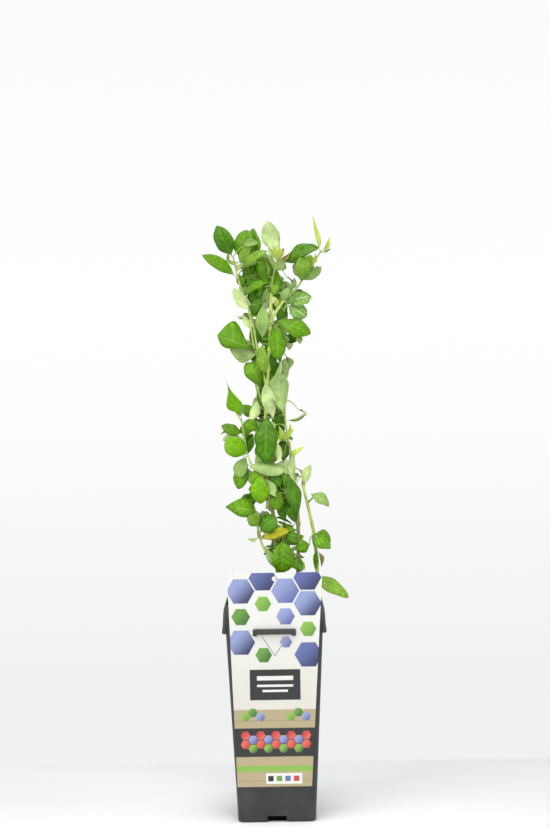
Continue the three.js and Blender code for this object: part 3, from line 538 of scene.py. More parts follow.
def pot_finish():
    """Satin black plastic, cloudy, a little dusty, with painted shade in the foot notches."""
    material, tree, shader = new_material("moulded_black_plastic", IOR=1.49)
    place = in_object(tree)
    shade = placed(tree, mottle, {"Vector": place, "Scale": 16.0, "Amount": 0.35})
    dust_cloud = noise_of(tree, place, 38.0, 5.0, 0.65)
    height = add(tree, "ShaderNodeSeparateXYZ", {0: place}).outputs["Z"]
    low_dust = ranged(tree, height, 0.0, 60 * MM, 0.2, 0.08)
    dust = math_of(tree, "MULTIPLY", ranged(tree, dust_cloud, 0.45, 0.75), low_dust)
    plain = mixed(tree, math_of(tree, "SUBTRACT", shade.outputs["Shade"], 0.5),
                  srgb(22, 24, 25), srgb(40, 42, 43))
    dusty = mixed(tree, dust, plain, srgb(104, 102, 96))
    painted_notch_shade = in_notch(tree, place)
    fine = placed(tree, grain, {"Vector": place, "Scale": 1500.0})
    # Painted shade: the notches' recessed walls get a near-black colour and almost no reflection.
    feed(tree, shader, Base_Color=mixed(tree, painted_notch_shade, dusty, srgb(3, 3, 3)),
         Specular_IOR_Level=ranged(tree, painted_notch_shade, 0.0, 1.0, 0.5, 0.05),
         Roughness=ranged(tree, noise_of(tree, place, 70.0, 3.0), 0.3, 0.7, 0.36, 0.52),
         Normal=bump_of(tree, fine.outputs["Height"], 0.06 * MM, 0.6))
    return material


def peat_finish():
    """Rough moist peat, lighter on its clumps."""
    material, tree, shader = new_material("moist_peat", Roughness=0.92)
    place = in_object(tree)
    clumps = noise_of(tree, place, 210.0, 5.0, 0.7)
    colour = mixed(tree, ranged(tree, clumps, 0.35, 0.65), srgb(38, 27, 20), srgb(92, 68, 48))
    feed(tree, shader, Base_Color=colour, Normal=bump_of(tree, clumps, 1.2 * MM))
    return material


def crumb_finish():
    """Brown crumbs of bark."""
    material, tree, shader = new_material("bark_crumbs", Roughness=0.85)
    place = in_object(tree)
    tone = noise_of(tree, place, 300.0)
    feed(tree, shader, Base_Color=mixed(tree, tone, srgb(60, 42, 30), srgb(138, 106, 76)),
         Normal=bump_of(tree, noise_of(tree, place, 1400.0), 0.2 * MM))
    return material


# ---------------------------------------------------------------- meshes


def linked(name, data):
    """A new object of the scene, at the origin."""
    made = bpy.data.objects.new(name, data)
    bpy.context.scene.collection.objects.link(made)
    return made


def mesh_object(name, vertices, faces, edges=()):
    """A smooth mesh, from points in millimetres."""
    mesh = bpy.data.meshes.new(name)
    mesh.from_pydata([Vector(v) * MM for v in vertices], edges, faces)
    mesh.update()
    mesh.shade_smooth()
    return linked(name, mesh)


def loft(rings):
    """Faces between rings of equal count, with flat ends."""
    count = len(rings[0])
    faces = []
    for r in range(len(rings) - 1):
        for i in range(count):
            a, b = r * count + i, r * count + (i + 1) % count
            faces.append((a, b, b + count, a + count))
    last = (len(rings) - 1) * count
    faces.append(tuple(range(count))[::-1])
    faces.append(tuple(last + i for i in range(count)))
    return [v for ring in rings for v in ring], faces


def grid_faces(across, along):
    """The faces of a grid, whose points come in rows of across + 1."""
    row = across + 1
    corners = (j * row + i for j in range(along) for i in range(across))
    return [(a, a + 1, a + row + 1, a + row) for a in corners]


def grid_rim(across, along):
    """The points round the edge of such a grid, in order."""
    row = across + 1
    return [*range(row), *(j * row + across for j in range(1, along + 1)),
            *(along * row + i for i in range(across - 1, -1, -1)),
            *(j * row for j in range(along - 1, 0, -1))]


def finished(piece, slot, *materials, replaces=()):
    """Gives a finished piece its materials and its body, and hides the nodes that it replaces. The
    slot is not used.
    """
    if materials:
        piece.data.materials.clear()
    for material in materials:
        piece.data.materials.append(material)
    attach(piece, "root")
    if replaces:
        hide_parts(*replaces)


def plain_mesh(piece):
    """Applies what modifiers piece has, and removes them."""
    graph = bpy.context.evaluated_depsgraph_get()
    mesh = bpy.data.meshes.new_from_object(piece.evaluated_get(graph))
    piece.modifiers.clear()
    piece.data = mesh


def grown(piece, tree, values):
    """Runs a Geometry Nodes tree on piece and keeps the result as a plain mesh."""
    modifier = piece.modifiers.new(tree.name, "NODES")
    modifier.node_group = tree
    for item in tree.interface.items_tree:
        if item.item_type == "SOCKET" and item.in_out == "INPUT" and item.name in values:
            modifier[item.identifier] = values[item.name]
    plain_mesh(piece)


def removed(*objects):
    """Deletes helper objects."""
    for made in objects:
        bpy.data.objects.remove(made)


# ---------------------------------------------------------------- pot


def wall_half(z):
    """Half the pot's width at height z, under its shoulder."""
    return POT["base_half"] + TAPER * z


def rounded_ring(z, half, corner, front=None):
    """A square with round corners at height z. Its front may be nearer than its other sides."""
    front = half if front is None else front
    ring = []
    for quarter, (sx, sy) in enumerate([(1, 1), (-1, 1), (-1, -1), (1, -1)]):
        reach = half if sy > 0 else front
        for i in range(CORNER_STEPS + 1):
            angle = (quarter + i / CORNER_STEPS) * math.pi / 2
            ring.append((sx * (half - corner) + corner * math.cos(angle),
                         sy * (reach - corner) + corner * math.sin(angle), z))
    return ring


def pot_outside():
    """The outer form: heights and half widths from the foot to the rim."""
    foot, shoulder = POT["chamfer"], POT["shoulder_height"]
    ledge_top = shoulder + POT["ledge_height"]
    profile = [
        (0, POT["base_half"] - foot), (0.3, POT["base_half"] - foot * 0.45),
        (0.8, wall_half(0.8) - 0.15), (foot, wall_half(foot)),
        (shoulder - 0.5, POT["shoulder_half"] - 0.02), (shoulder, POT["shoulder_half"] + 0.3),
        (shoulder + 0.15, POT["ledge_half"] - EDGE), (shoulder + 0.5, POT["ledge_half"]),
        (ledge_top - EDGE, POT["ledge_half"]), (ledge_top, POT["ledge_half"] - EDGE),
        (ledge_top + 0.4, POT["collar_foot_half"]),
        (POT["collar_bend"] - 2, POT["collar_foot_half"] - 0.9),
        (POT["collar_bend"] + 1.5, POT["collar_foot_half"] - 1.4),
        (POT["height"] - EDGE, POT["collar_top_half"]),
        (POT["height"], POT["collar_top_half"] - EDGE),
    ]
    return loft([rounded_ring(z, half, POT["corner"]) for z, half in profile])


def pot_inside():
    """What is hollowed out of the body, and of the collar, whose front stays behind the label."""
    corner = POT["corner"] - POT["wall"]
    body = loft([
        rounded_ring(POT["floor"], wall_half(POT["floor"]) - POT["wall"], corner),
        rounded_ring(POT["shoulder_height"] + 4, POT["shoulder_half"] - POT["wall"], corner)])
    front = POT["shoulder_half"] - POT["wall"]
    collar = loft([
        rounded_ring(POT["shoulder_height"] + 2, POT["collar_foot_half"] - 2.4, corner, front),
        rounded_ring(POT["collar_bend"], POT["collar_foot_half"] - 2.8, corner, front),
        rounded_ring(POT["height"] + 1, POT["collar_top_half"] - POT["wall"], corner, front)])
    return body, collar


def block(left, right, front, back, bottom, top):
    """A box by its six faces."""
    corners = [(left, front), (right, front), (right, back), (left, back)]
    return loft([[(x, y, z) for x, y in corners] for z in (bottom, top)])


def turned(shape, quarter):
    """A shape turned about the pot's own axis by quarter turns."""
    spin = Matrix.Rotation(quarter * math.pi / 2, 4, "Z")
    vertices, faces = shape
    return [tuple(spin @ Vector(v)) for v in vertices], faces


def label_seat():
    """The block cut from the collar's front, so that the label can lean on the wall."""
    half = LABEL["top_half"] + SEAT["aside"]
    lean = Matrix.Rotation(math.atan(TAPER), 4, "X")
    vertices, faces = block(-half, half, -SEAT["depth"], 0, 0, SEAT["height"])
    place = Vector((0, -POT["shoulder_half"], POT["shoulder_height"]))
    return [tuple(lean @ Vector(v) + place) for v in vertices], faces


def clip_parts():
    """The bar before the label, and the legs that hold it at both ends."""
    half, bottom, top = CLIP["half"], CLIP["bottom"], CLIP["bottom"] + CLIP["height"]
    face = -wall_half(top) - LABEL["thickness"] - 3 * CLEAR
    drop = CLIP["leg_drop"]
    bar = block(-half, half, face - CLIP["depth"], face, bottom, top)
    legs = [block(x, x + CLIP["leg"], face - CLIP["depth"], 1 - POT["shoulder_half"],
                  bottom - drop, top - drop) for x in (-half, half - CLIP["leg"])]
    return [bar, *legs]


def notch_parts():
    """The pocket of a foot notch, and what is cut from it and from the wall before it."""
    half, wall, front = NOTCH["half"], NOTCH["wall"], -POT["base_half"]
    pocket = block(-half - wall, half + wall, 0.3 + front, NOTCH["depth"] + wall + front,
                   0.5, NOTCH["height"] + wall)
    cut = block(-half, half, front - 2, front + NOTCH["depth"], -1, NOTCH["height"])
    return pocket, cut


def drain_holes():
    """Round bars through the floor, one for each quarter."""
    angles = [2 * math.pi * k / DRAIN["sides"] for k in range(DRAIN["sides"])]
    circle = [(DRAIN["radius"] * math.cos(angle), DRAIN["radius"] * math.sin(angle))
              for angle in angles]
    middles = [(sx * DRAIN["offset"], sy * DRAIN["offset"]) for sx in (-1, 1) for sy in (-1, 1)]
    return [loft([[(x + dx, y + dy, z) for dx, dy in circle] for z in (-6, 6)])
            for x, y in middles]


def collar_slots():
    """Bars through both sides of the collar."""
    reach, half = SLOT["reach"], SLOT["half"]
    return [block(-reach, reach, y - half, y + half, SLOT["bottom"], SLOT["top"])
            for y in (-SLOT["y"], SLOT["y"])]


def carved(piece, steps):
    """Adds each step's shape to the piece, or cuts it out."""
    tools = []
    for operation, shape in steps:
        tool = mesh_object("pot_tool", *shape)
        cutter = piece.modifiers.new("cut", "BOOLEAN")
        cutter.operation = operation
        cutter.object = tool
        cutter.solver = "MANIFOLD"
        tools.append(tool)
    plain_mesh(piece)
    removed(*tools)


def make_pot():
    """The pot, with its clip, slots, foot notches and drain holes."""
    pot = mesh_object("nursery_pot", *pot_outside())
    pocket, cut = notch_parts()
    carved(pot, [
        *(("DIFFERENCE", shape) for shape in (label_seat(), *pot_inside())),
        *(("UNION", turned(pocket, k)) for k in range(4)),
        *(("DIFFERENCE", turned(cut, k)) for k in range(4)),
        *(("DIFFERENCE", shape) for shape in (*drain_holes(), *collar_slots())),
        *(("UNION", part) for part in clip_parts()),
    ])
    round_off = pot.modifiers.new("edges", "BEVEL")
    round_off.width = EDGE * MM
    round_off.segments = 2
    round_off.limit_method = "ANGLE"
    round_off.angle_limit = math.radians(BEVEL_FROM)
    plain_mesh(pot)
    pot.data.shade_smooth()
    pot.data.set_sharp_from_angle(angle=math.radians(SHARP_FROM))
    finished(pot, "pot_plastic", pot_finish(), replaces=["pot"])


# ---------------------------------------------------------------- soil


def soil_height(x, y):
    """The height of the soil's lumpy top."""
    at = Vector((x, y, 0))
    return SOIL_TOP - 0.5 + 1.6 * noise.noise(at * 0.06) + 0.8 * noise.noise(at * 0.22)


def soil_patch(half, steps, lift=0.0):
    """The points and faces of a square piece of the soil's top."""
    places = [((2 * i / steps - 1) * half, (2 * j / steps - 1) * half)
              for j in range(steps + 1) for i in range(steps + 1)]
    return [(x, y, soil_height(x, y) + lift) for x, y in places], grid_faces(steps, steps)


def make_soil():
    """The filling, with a lumpy top that stays within the collar."""
    half = POT["shoulder_half"] - POT["wall"] - CLEAR
    vertices, faces = soil_patch(half, SOIL_STEPS)
    rim = grid_rim(SOIL_STEPS, SOIL_STEPS)
    start = len(vertices)
    bottom = NOTCH["height"] + NOTCH["wall"] + CLEAR
    foot = wall_half(bottom) - POT["wall"] - CLEAR
    for i in rim:
        x, y, _ = vertices[i]
        vertices.append((x * foot / half, y * foot / half, bottom))
    for k, i in enumerate(rim):
        after = (k + 1) % len(rim)
        faces.append((i, start + k, start + after, rim[after]))
    faces.append(tuple(range(start + len(rim) - 1, start - 1, -1)))
    soil = mesh_object("potting_soil", vertices, faces)
    finished(soil, "peat", peat_finish(), replaces=["soil"])


def crumb_tree():
    """Bark crumbs strewn over a patch of soil."""
    tree, ins, outs = geometry_tree("strewn_crumbs", [
        ("Density", "NodeSocketFloat", 120000.0), ("Size", "NodeSocketFloat", 2.2 * MM),
        ("Finish", "NodeSocketMaterial", None)])
    points = add(tree, "GeometryNodeDistributePointsOnFaces", {
        "Mesh": ins.outputs["Geometry"], "Density": ins.outputs["Density"], "Seed": 5})
    crumb = add(tree, "GeometryNodeMeshIcoSphere", {
        "Radius": ins.outputs["Size"], "Subdivisions": 1})
    spin = add(tree, "FunctionNodeRandomValue", {
        0: (0.0, 0.0, 0.0), 1: (6.28, 6.28, 6.28), "Seed": 7}, data_type="FLOAT_VECTOR")
    size = add(tree, "FunctionNodeRandomValue", {
        0: (0.25, 0.15, 0.1), 1: (1.2, 0.6, 0.35), "Seed": 9}, data_type="FLOAT_VECTOR")
    strewn = add(tree, "GeometryNodeInstanceOnPoints", {
        "Points": points.outputs["Points"], "Instance": crumb.outputs["Mesh"],
        "Rotation": spin.outputs[0], "Scale": size.outputs[0]})
    done = real_in(tree, strewn.outputs["Instances"], ins.outputs["Finish"])
    tree.links.new(done, outs.inputs["Geometry"])
    return tree


def make_crumbs():
    """Crumbs of bark that lie on the soil."""
    half = POT["shoulder_half"] - CRUMB_MARGIN
    patch = mesh_object("soil_crumbs", *soil_patch(half, CRUMB_STEPS, CRUMB_LIFT))
    grown(patch, crumb_tree(), {"Finish": crumb_finish()})
    patch.data.shade_flat()
    finished(patch, "peat")


# ---------------------------------------------------------------- label

CREAM, DOVE = srgb(212, 212, 207), srgb(202, 199, 191)
BEIGE, OAK = srgb(165, 150, 117), srgb(146, 129, 94)
VIOLET, NIGHT, MIST = srgb(86, 97, 152), srgb(40, 46, 90), srgb(134, 146, 188)
LEAF, MOSS, LIME = srgb(92, 142, 50), srgb(50, 98, 34), srgb(124, 168, 66)
SLATE, SLIT_SHADE = srgb(22, 22, 24), srgb(142, 142, 146)
RED, CORAL = srgb(180, 54, 50), srgb(204, 94, 76)

TILE, CELL = 13.5, 4.6  # half sizes of the large and the small hexagons
WIDE, NARROW = (-32, -16, 0, 16, 32), (-24, -8, 8, 24)  # places of the small ones in their rows


def hexagons(*rows):
    """Printed hexagons: centre x and z, half size, colour, and colour at the lower right."""
    return [("hexagon", x, z, size, size, tone, shade) for x, z, size, tone, shade in rows]


def bars(*rows):
    """Printed bars: centre x and z, half width and height, colour."""
    return [("bar", *row, row[-1]) for row in rows]


# The label's generic design, painted in this order on the card's face.
PRINT = [
    *hexagons(
        (-35, 245, TILE, MIST, NIGHT), (-11.5, 258.5, TILE, VIOLET, NIGHT),
        (12, 245, TILE, MIST, VIOLET), (35.5, 258.5, TILE, VIOLET, NIGHT),
        (35.5, 231.5, TILE, MIST, NIGHT), (-11.5, 231.5, 8, LIME, LEAF),
        (-35, 218, 9, LEAF, MOSS), (12, 218, 9, MIST, VIOLET), (-35, 191, TILE, MIST, NIGHT),
        (35.5, 204.5, 8, LIME, LEAF), (35.5, 177.5, TILE, VIOLET, NIGHT),
        (-11.5, 177.5, 8, LEAF, MOSS), (12, 191, 6, MIST, VIOLET)),
    *bars((0, 146, 28, 17, SLATE), (0, 153, 20, 2.4, CREAM), (0, 145, 20, 1.3, CREAM),
          (0, 139.5, 14, 1.3, CREAM), (0, 78, 60, 44, BEIGE)),
    *bars(*((0, z, 60, 0.35, OAK) for z in (108, 92, 76, 60, 44))),
    *hexagons(
        (-32, 112, CELL, LIME, LEAF), (-24, 116.6, CELL, LEAF, MOSS),
        (-16, 112, CELL, MIST, VIOLET), (16, 112, CELL, LIME, LEAF),
        (24, 116.6, CELL, LEAF, MOSS), (32, 112, CELL, MIST, VIOLET)),
    *bars((0, 85, 60, 16, SLATE)),
    *hexagons(*((x, 92.5, CELL, RED, CORAL) for x in WIDE)),
    *hexagons(*((x, 88, CELL, MIST, VIOLET) for x in NARROW)),
    *hexagons(*((x, 83, CELL, CORAL, RED) for x in WIDE)),
    *hexagons(*((x, 78.5, CELL, LIME, MOSS) for x in NARROW)),
    *bars((0, 57, 60, 3.2, LIME), (8, 46.5, 20, 6, CREAM)),
    # The card's V-shaped slit, drawn as a thin grey line of painted shade.
    ("cut", 0.3, 176.5, 14, 21.7, SLIT_SHADE, SLIT_SHADE),
    *bars((-6, 46.5, 3, 3, SLATE), (3, 46.5, 3, 3, LEAF), (12, 46.5, 3, 3, VIOLET),
          (21, 46.5, 3, 3, RED)),
]


def print_group(shape):
    """Where a printed shape lies, and how far a point is towards its lower right."""
    group, ins, outs = new_group("printed_" + shape, [
        ("Place", "NodeSocketVector", None), ("Centre", "NodeSocketVector", (0, 0, 0)),
        ("Half size", "NodeSocketVector", (1, 1, 1))],
        [("Inside", "NodeSocketFloat"), ("Shaded", "NodeSocketFloat")])
    moved = add(group, "ShaderNodeVectorMath", {
        0: ins.outputs["Place"], 1: ins.outputs["Centre"]}, operation="SUBTRACT")
    sized = add(group, "ShaderNodeVectorMath", {
        0: moved.outputs[0], 1: ins.outputs["Half size"]}, operation="DIVIDE")
    parts = add(group, "ShaderNodeSeparateXYZ", {0: sized.outputs[0]})
    x = math_of(group, "ABSOLUTE", parts.outputs["X"])
    y = math_of(group, "ABSOLUTE", parts.outputs["Y"])
    if shape == "hexagon":
        slope = math_of(group, "MULTIPLY_ADD", x, 0.866, math_of(group, "MULTIPLY", y, 0.5))
        reach = math_of(group, "MAXIMUM", y, slope)
    # The slit: a thin V that carries painted shade.
    elif shape == "cut":
        off_line = math_of(group, "ABSOLUTE", math_of(group, "SUBTRACT", parts.outputs["Y"], x))
        reach = math_of(group, "MAXIMUM", x, math_of(group, "MULTIPLY_ADD", off_line, 14.0, 0.3))
    else:
        reach = math_of(group, "MAXIMUM", x, y)
    group.links.new(ranged(group, reach, 0.93, 0.97, 1.0, 0.0), outs.inputs["Inside"])
    drop = math_of(group, "SUBTRACT", parts.outputs["X"], parts.outputs["Y"])
    group.links.new(ranged(group, drop, -1.0, 1.5), outs.inputs["Shaded"])
    return group


def card_finish():
    """White card, printed on the side that faces the front."""
    material, tree, shader = new_material("printed_card", Roughness=0.32, IOR=1.48,
                                          Coat_Weight=0.25, Coat_Roughness=0.2)
    place = add(tree, "ShaderNodeVectorMath", {0: in_object(tree), 1: (1 / MM, 1 / MM, 1 / MM)},
                operation="MULTIPLY").outputs[0]
    parts = add(tree, "ShaderNodeSeparateXYZ", {0: place})
    flat = add(tree, "ShaderNodeCombineXYZ", {
        "X": parts.outputs["X"], "Y": parts.outputs["Z"], "Z": 0.0}).outputs[0]
    groups = {shape: print_group(shape) for shape in ("bar", "cut", "hexagon")}
    colour = mixed(tree, ranged(tree, parts.outputs["Z"], 120, 220), DOVE, CREAM)
    for shape, x, z, half_x, half_z, tone, shadow in PRINT:
        drawn = placed(tree, groups[shape], {
            "Place": flat, "Centre": (x, z, 0), "Half size": (half_x, half_z, 1)})
        paint = mixed(tree, drawn.outputs["Shaded"], tone, shadow)
        colour = mixed(tree, drawn.outputs["Inside"], colour, paint)
    facing = add(tree, "ShaderNodeNewGeometry").outputs["Normal"]
    front = add(tree, "ShaderNodeSeparateXYZ", {0: facing}).outputs["Y"]
    printed = math_of(tree, "LESS_THAN", front, -0.5)
    wave = noise_of(tree, in_object(tree), 14.0)
    feed(tree, shader, Base_Color=mixed(tree, printed, srgb(238, 238, 236), colour),
         Normal=bump_of(tree, wave, 2.0 * MM, 0.35))
    return material


def finish_label():
    """The label keeps its node's mesh, and gets its print."""
    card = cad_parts["label"]
    card.data.materials.clear()
    card.data.materials.append(card_finish())


# ---------------------------------------------------------------- limbs

paths = {}  # the centre line of each limb


def smooth_path(points, spacing):
    """Evenly spaced points on a centripetal spline through the given ones."""
    ends = [2 * points[0] - points[1], *points, 2 * points[-1] - points[-2]]
    fine, steps = [], 24
    for a, b, c, d in zip(ends, ends[1:], ends[2:], ends[3:]):
        before, here, after = ((q - p).length ** 0.5 for p, q in ((a, b), (b, c), (c, d)))
        leave = here * ((b - a) / before - (c - a) / (before + here) + (c - b) / here)
        arrive = here * ((c - b) / here - (d - b) / (here + after) + (d - c) / after)
        for k in range(steps):
            t = k / steps
            fine.append(b * (2 * t**3 - 3 * t**2 + 1) + leave * (t**3 - 2 * t**2 + t)
                        + c * (3 * t**2 - 2 * t**3) + arrive * (t**3 - t**2))
    fine.append(points[-1].copy())
    reach = [0.0]
    for p, q in zip(fine, fine[1:]):
        reach.append(reach[-1] + (q - p).length)
    count = max(2, round(reach[-1] / spacing))
    path, i = [], 0
    for k in range(count + 1):
        want = reach[-1] * k / count
        while i < len(fine) - 2 and reach[i + 1] < want:
            i += 1
        span = reach[i + 1] - reach[i]
        path.append(fine[i].lerp(fine[i + 1], (want - reach[i]) / span if span else 0))
    return path


def on_limb(path, height):
    """The point of a limb's centre line at a height."""
    i = next((k for k, p in enumerate(path) if p.z >= height), len(path) - 1)
    low, high = path[max(0, i - 1)], path[max(1, i)]
    return low.lerp(high, (height - low.z) / (high.z - low.z))


def course_of(source, height, route, spacing):
    """The path of a shoot, from inside the limb that it leaves."""
    points = [Vector(p) for p in route]
    if source:
        start = on_limb(paths[source], height) if height else paths[source][-1]
        points.insert(0, start)
    return smooth_path(points, spacing)


def carried(path):
    """A frame that follows a path without twisting: for each point its two cross directions."""
    frames, side = [], None
    for i in range(len(path)):
        along = (path[min(len(path) - 1, i + 1)] - path[max(0, i - 1)]).normalized()
        if side is None:
            side = Vector((0, 1, 0)) if abs(along.x) > 0.9 else Vector((1, 0, 0))
        side = (side - along * side.dot(along)).normalized()
        frames.append((side, along.cross(side)))
    return frames


def bark_relief(seed, travel, angle, radius):
    """How far the bark stands out: a scar on a swelling where each old leaf stood, and grooves."""
    nearest = round(travel / SCAR_STEP)
    away = travel - nearest * SCAR_STEP
    turn = math.cos(angle - math.radians(nearest * GOLDEN_ANGLE + seed * 70))
    swelling = SWELLING[0] * math.exp(-(away / SWELLING[1]) ** 2)
    scar = SCAR[0] * max(0.0, turn) ** 4 * math.exp(-(away / SCAR[1]) ** 2)
    round_limb = Vector((math.cos(angle) * 3, math.sin(angle) * 3, travel * 0.07))
    groove = GROOVE * noise.noise(round_limb)
    return radius * (1 + swelling + scar + groove)


def limb_mesh(seed, path, foot, tip):
    """The rings of bark round a limb's centre line."""
    rings, travel = [], 0.0
    for i, (centre, (across, off)) in enumerate(zip(path, carried(path))):
        travel += (centre - path[i - 1]).length if i else 0
        share = i / (len(path) - 1)
        radius = foot + (tip - foot) * share
        flare = 1 + FLARE[0] * math.exp(-travel / FLARE[1]) if foot > STOUT else 1
        ring = []
        for k in range(LIMB_SIDES):
            angle = 2 * math.pi * k / LIMB_SIDES
            out = bark_relief(seed, travel, angle, radius * flare)
            ring.append(centre + across * (out * math.cos(angle)) + off * (out * math.sin(angle)))
        rings.append(ring)
    return loft(rings)


def make_limbs():
    """The stems and boughs: finer meshes of their nodes' form."""
    woody, green = bark_finish("woody_bark"), bark_finish("green_bark")
    for seed, (name, (foot, tip, source, height, route)) in enumerate(LIMBS.items()):
        paths[name] = course_of(source, height, route, LIMB_SPACING)
        piece = mesh_object(name + "_bark", *limb_mesh(seed, paths[name], foot, tip))
        is_young = bool(source) or name in ("stem_low_left", "stem_right")
        finished(piece, "bark", green if is_young else woody, replaces=[name])


# ---------------------------------------------------------------- leaves

# Arch, fold, droop of the tip, height and count of waves at the edge, twist in degrees, power of
# the outline, place of the greatest width along the blade, roll of the edges, and how much wider
# the right half is.
FORMS = {
    "angular": (0.04, 0.14, 0.03, 0.008, 2.0, 6, 0.95, 0.68, 0.25, 0.32),
    "blunt": (0.09, 0.36, 0.09, 0.020, 2.0, 12, 0.56, 0.59, 0.45, 0.0),
    "broad": (0.09, 0.30, 0.08, 0.018, 2.0, 14, 0.62, 0.52, 0.40, 0.0),
    "cupped": (0.08, 0.60, 0.03, 0.012, 2.0, -14, 0.70, 0.52, -0.20, 0.0),
    "drooping": (0.16, 0.40, 0.20, 0.012, 2.5, 16, 0.75, 0.48, 0.30, 0.0),
    "level": (0.02, 0.16, 0.02, 0.008, 2.0, 4, 0.60, 0.40, 0.10, 0.1),
    "long_tip": (0.05, 0.30, -0.04, 0.012, 2.0, 10, 4.20, 0.27, 0.10, 0.0),
    "plain": (0.10, 0.42, 0.08, 0.014, 2.0, 10, 0.78, 0.50, 0.40, 0.0),
    "puckered": (0.06, 0.28, 0.06, 0.045, 3.5, 18, 0.56, 0.56, 0.40, 0.0),
    "spike": (0.00, 0.30, 0.00, 0.002, 2.0, 2, 1.10, 0.30, 0.00, 0.0),
    "tapered": (0.08, 0.34, 0.06, 0.014, 2.0, 8, 1.00, 0.38, 0.35, 0.1),
    "twisted": (0.12, 0.45, 0.10, 0.022, 2.5, 60, 0.80, 0.50, 0.20, 0.0),
    "wavy": (0.09, 0.34, 0.09, 0.034, 3.0, -18, 0.70, 0.53, 0.40, 0.0),
    "young": (0.08, 0.75, -0.04, 0.010, 2.0, 8, 1.00, 0.42, -0.20, 0.0),
}
FORM_NAMES = sorted(FORMS)
VARIANTS = 3  # of each form, which differ a little
ROWS, COLUMNS = 13, 4
STALK = 0.07  # share of the length that is bare stalk
STALK_HALF = 0.022  # half its width, for a leaf 1 wide
ASPECT = 0.55  # a leaf's usual width for its length
VARIED = {"arch": 0.03, "fold": 0.14, "twist": 22, "roll": 0.2, "uneven": 0.08, "sway": 0.09}


def chance(seed, i, k):
    """A repeatable number from 0 to 1 for a seed and two counters."""
    wave = math.sin(seed * 12.9898 + i * 78.233 + k * 37.719) * 43758.5453
    return wave - math.floor(wave)


def spread(seed, i, k, amount):
    """A repeatable number from -amount to amount."""
    return (2 * chance(seed, i, k) - 1) * amount


def half_width(along, power, widest):
    """Half the blade's width for a leaf 1 wide, from the stalk to the tip."""
    if along <= STALK:
        return STALK_HALF
    share = (along - STALK) / (1 - STALK)
    bend = math.log(0.5) / math.log(widest)
    return max(STALK_HALF * (1 - share), 0.5 * math.sin(math.pi * share**bend) ** power)


def blade_grid(name, variant):
    """The middle surface of a leaf, 1 long and 1 wide, with each point's place on its map."""
    arch, fold, droop, wave, waves, twist, power, widest, roll, uneven = FORMS[name]
    seed = 7 * FORM_NAMES.index(name) + 3 * variant + 1
    arch += spread(seed, variant, 1, VARIED["arch"])
    fold += spread(seed, variant, 2, VARIED["fold"])
    twist += spread(seed, variant, 3, VARIED["twist"])
    roll += spread(seed, variant, 4, VARIED["roll"])
    uneven += spread(seed, variant, 5, VARIED["uneven"])
    sway = spread(seed, variant, 6, VARIED["sway"])
    phase = 6 * chance(seed, variant, 7)
    stations = [0.0, STALK] + [STALK + (1 - STALK) * (k / (ROWS - 1)) ** 0.9
                               for k in range(1, ROWS)]
    stations[-1] = 0.995
    grid, places = [], []
    for along in stations:
        blade = max(0.0, (along - STALK) / (1 - STALK))
        half = half_width(along, power, widest)
        ragged = 1 + 0.05 * math.sin(11 * along + phase) * min(1, 5 * half)
        angle = math.radians(twist) * (along - 0.3)
        for c in range(COLUMNS + 1):
            aside = 2 * c / COLUMNS - 1
            x = aside * half * ragged * (1 + uneven * (1 if aside > 0 else -1))
            shift = phase + (1.7 if aside > 0 else 0)
            ripple = wave * math.sin(2 * math.pi * waves * along + shift)
            z = fold * ASPECT * abs(x) - roll * ASPECT * half * abs(aside) ** 4 * 0.6
            z += ripple * aside ** 2 * min(1, 4 * half)
            turned_x = x * math.cos(angle) - z / ASPECT * math.sin(angle)
            turned_z = z * math.cos(angle) + x * ASPECT * math.sin(angle)
            rise = 4 * arch * along * (1 - along) - droop * blade ** 3
            grid.append((turned_x + sway * 4 * along * (1 - along), along, turned_z + rise))
            places.append(((aside + 1) / 2, along))
    return grid, places, len(stations)


def leaf_form(name, variant):
    """A thin closed leaf: 1 long from its stalk at the origin along +Y, 1 wide, top to +Z."""
    grid, places, rows = blade_grid(name, variant)
    top, lift = len(grid), LEAF_THICKNESS / 2
    vertices = [(x, y, z + lift) for x, y, z in grid] + [(x, y, z - lift) for x, y, z in grid]
    faces, under = [], []
    for a, b, c, d in grid_faces(COLUMNS, rows - 1):
        faces += [(a, b, c, d), (a + top, d + top, c + top, b + top)]
        under += [False, True]
    rim = grid_rim(COLUMNS, rows - 1)
    for here, after in zip(rim, rim[1:] + rim[:1]):
        faces.append((after, here, here + top, after + top))
        under.append(False)
    name = "leaf_%s_%d" % (name, variant)
    mesh = bpy.data.meshes.new(name)
    mesh.from_pydata(vertices, [], faces)
    mesh.shade_smooth()
    leaf_map = mesh.uv_layers.new(name="leaf_map")
    for loop in mesh.loops:
        leaf_map.data[loop.index].uv = places[loop.vertex_index % top]
    mark = mesh.attributes.new("underside", "BOOLEAN", "FACE")
    mark.data.foreach_set("value", under)
    return bpy.data.objects.new(name, mesh)


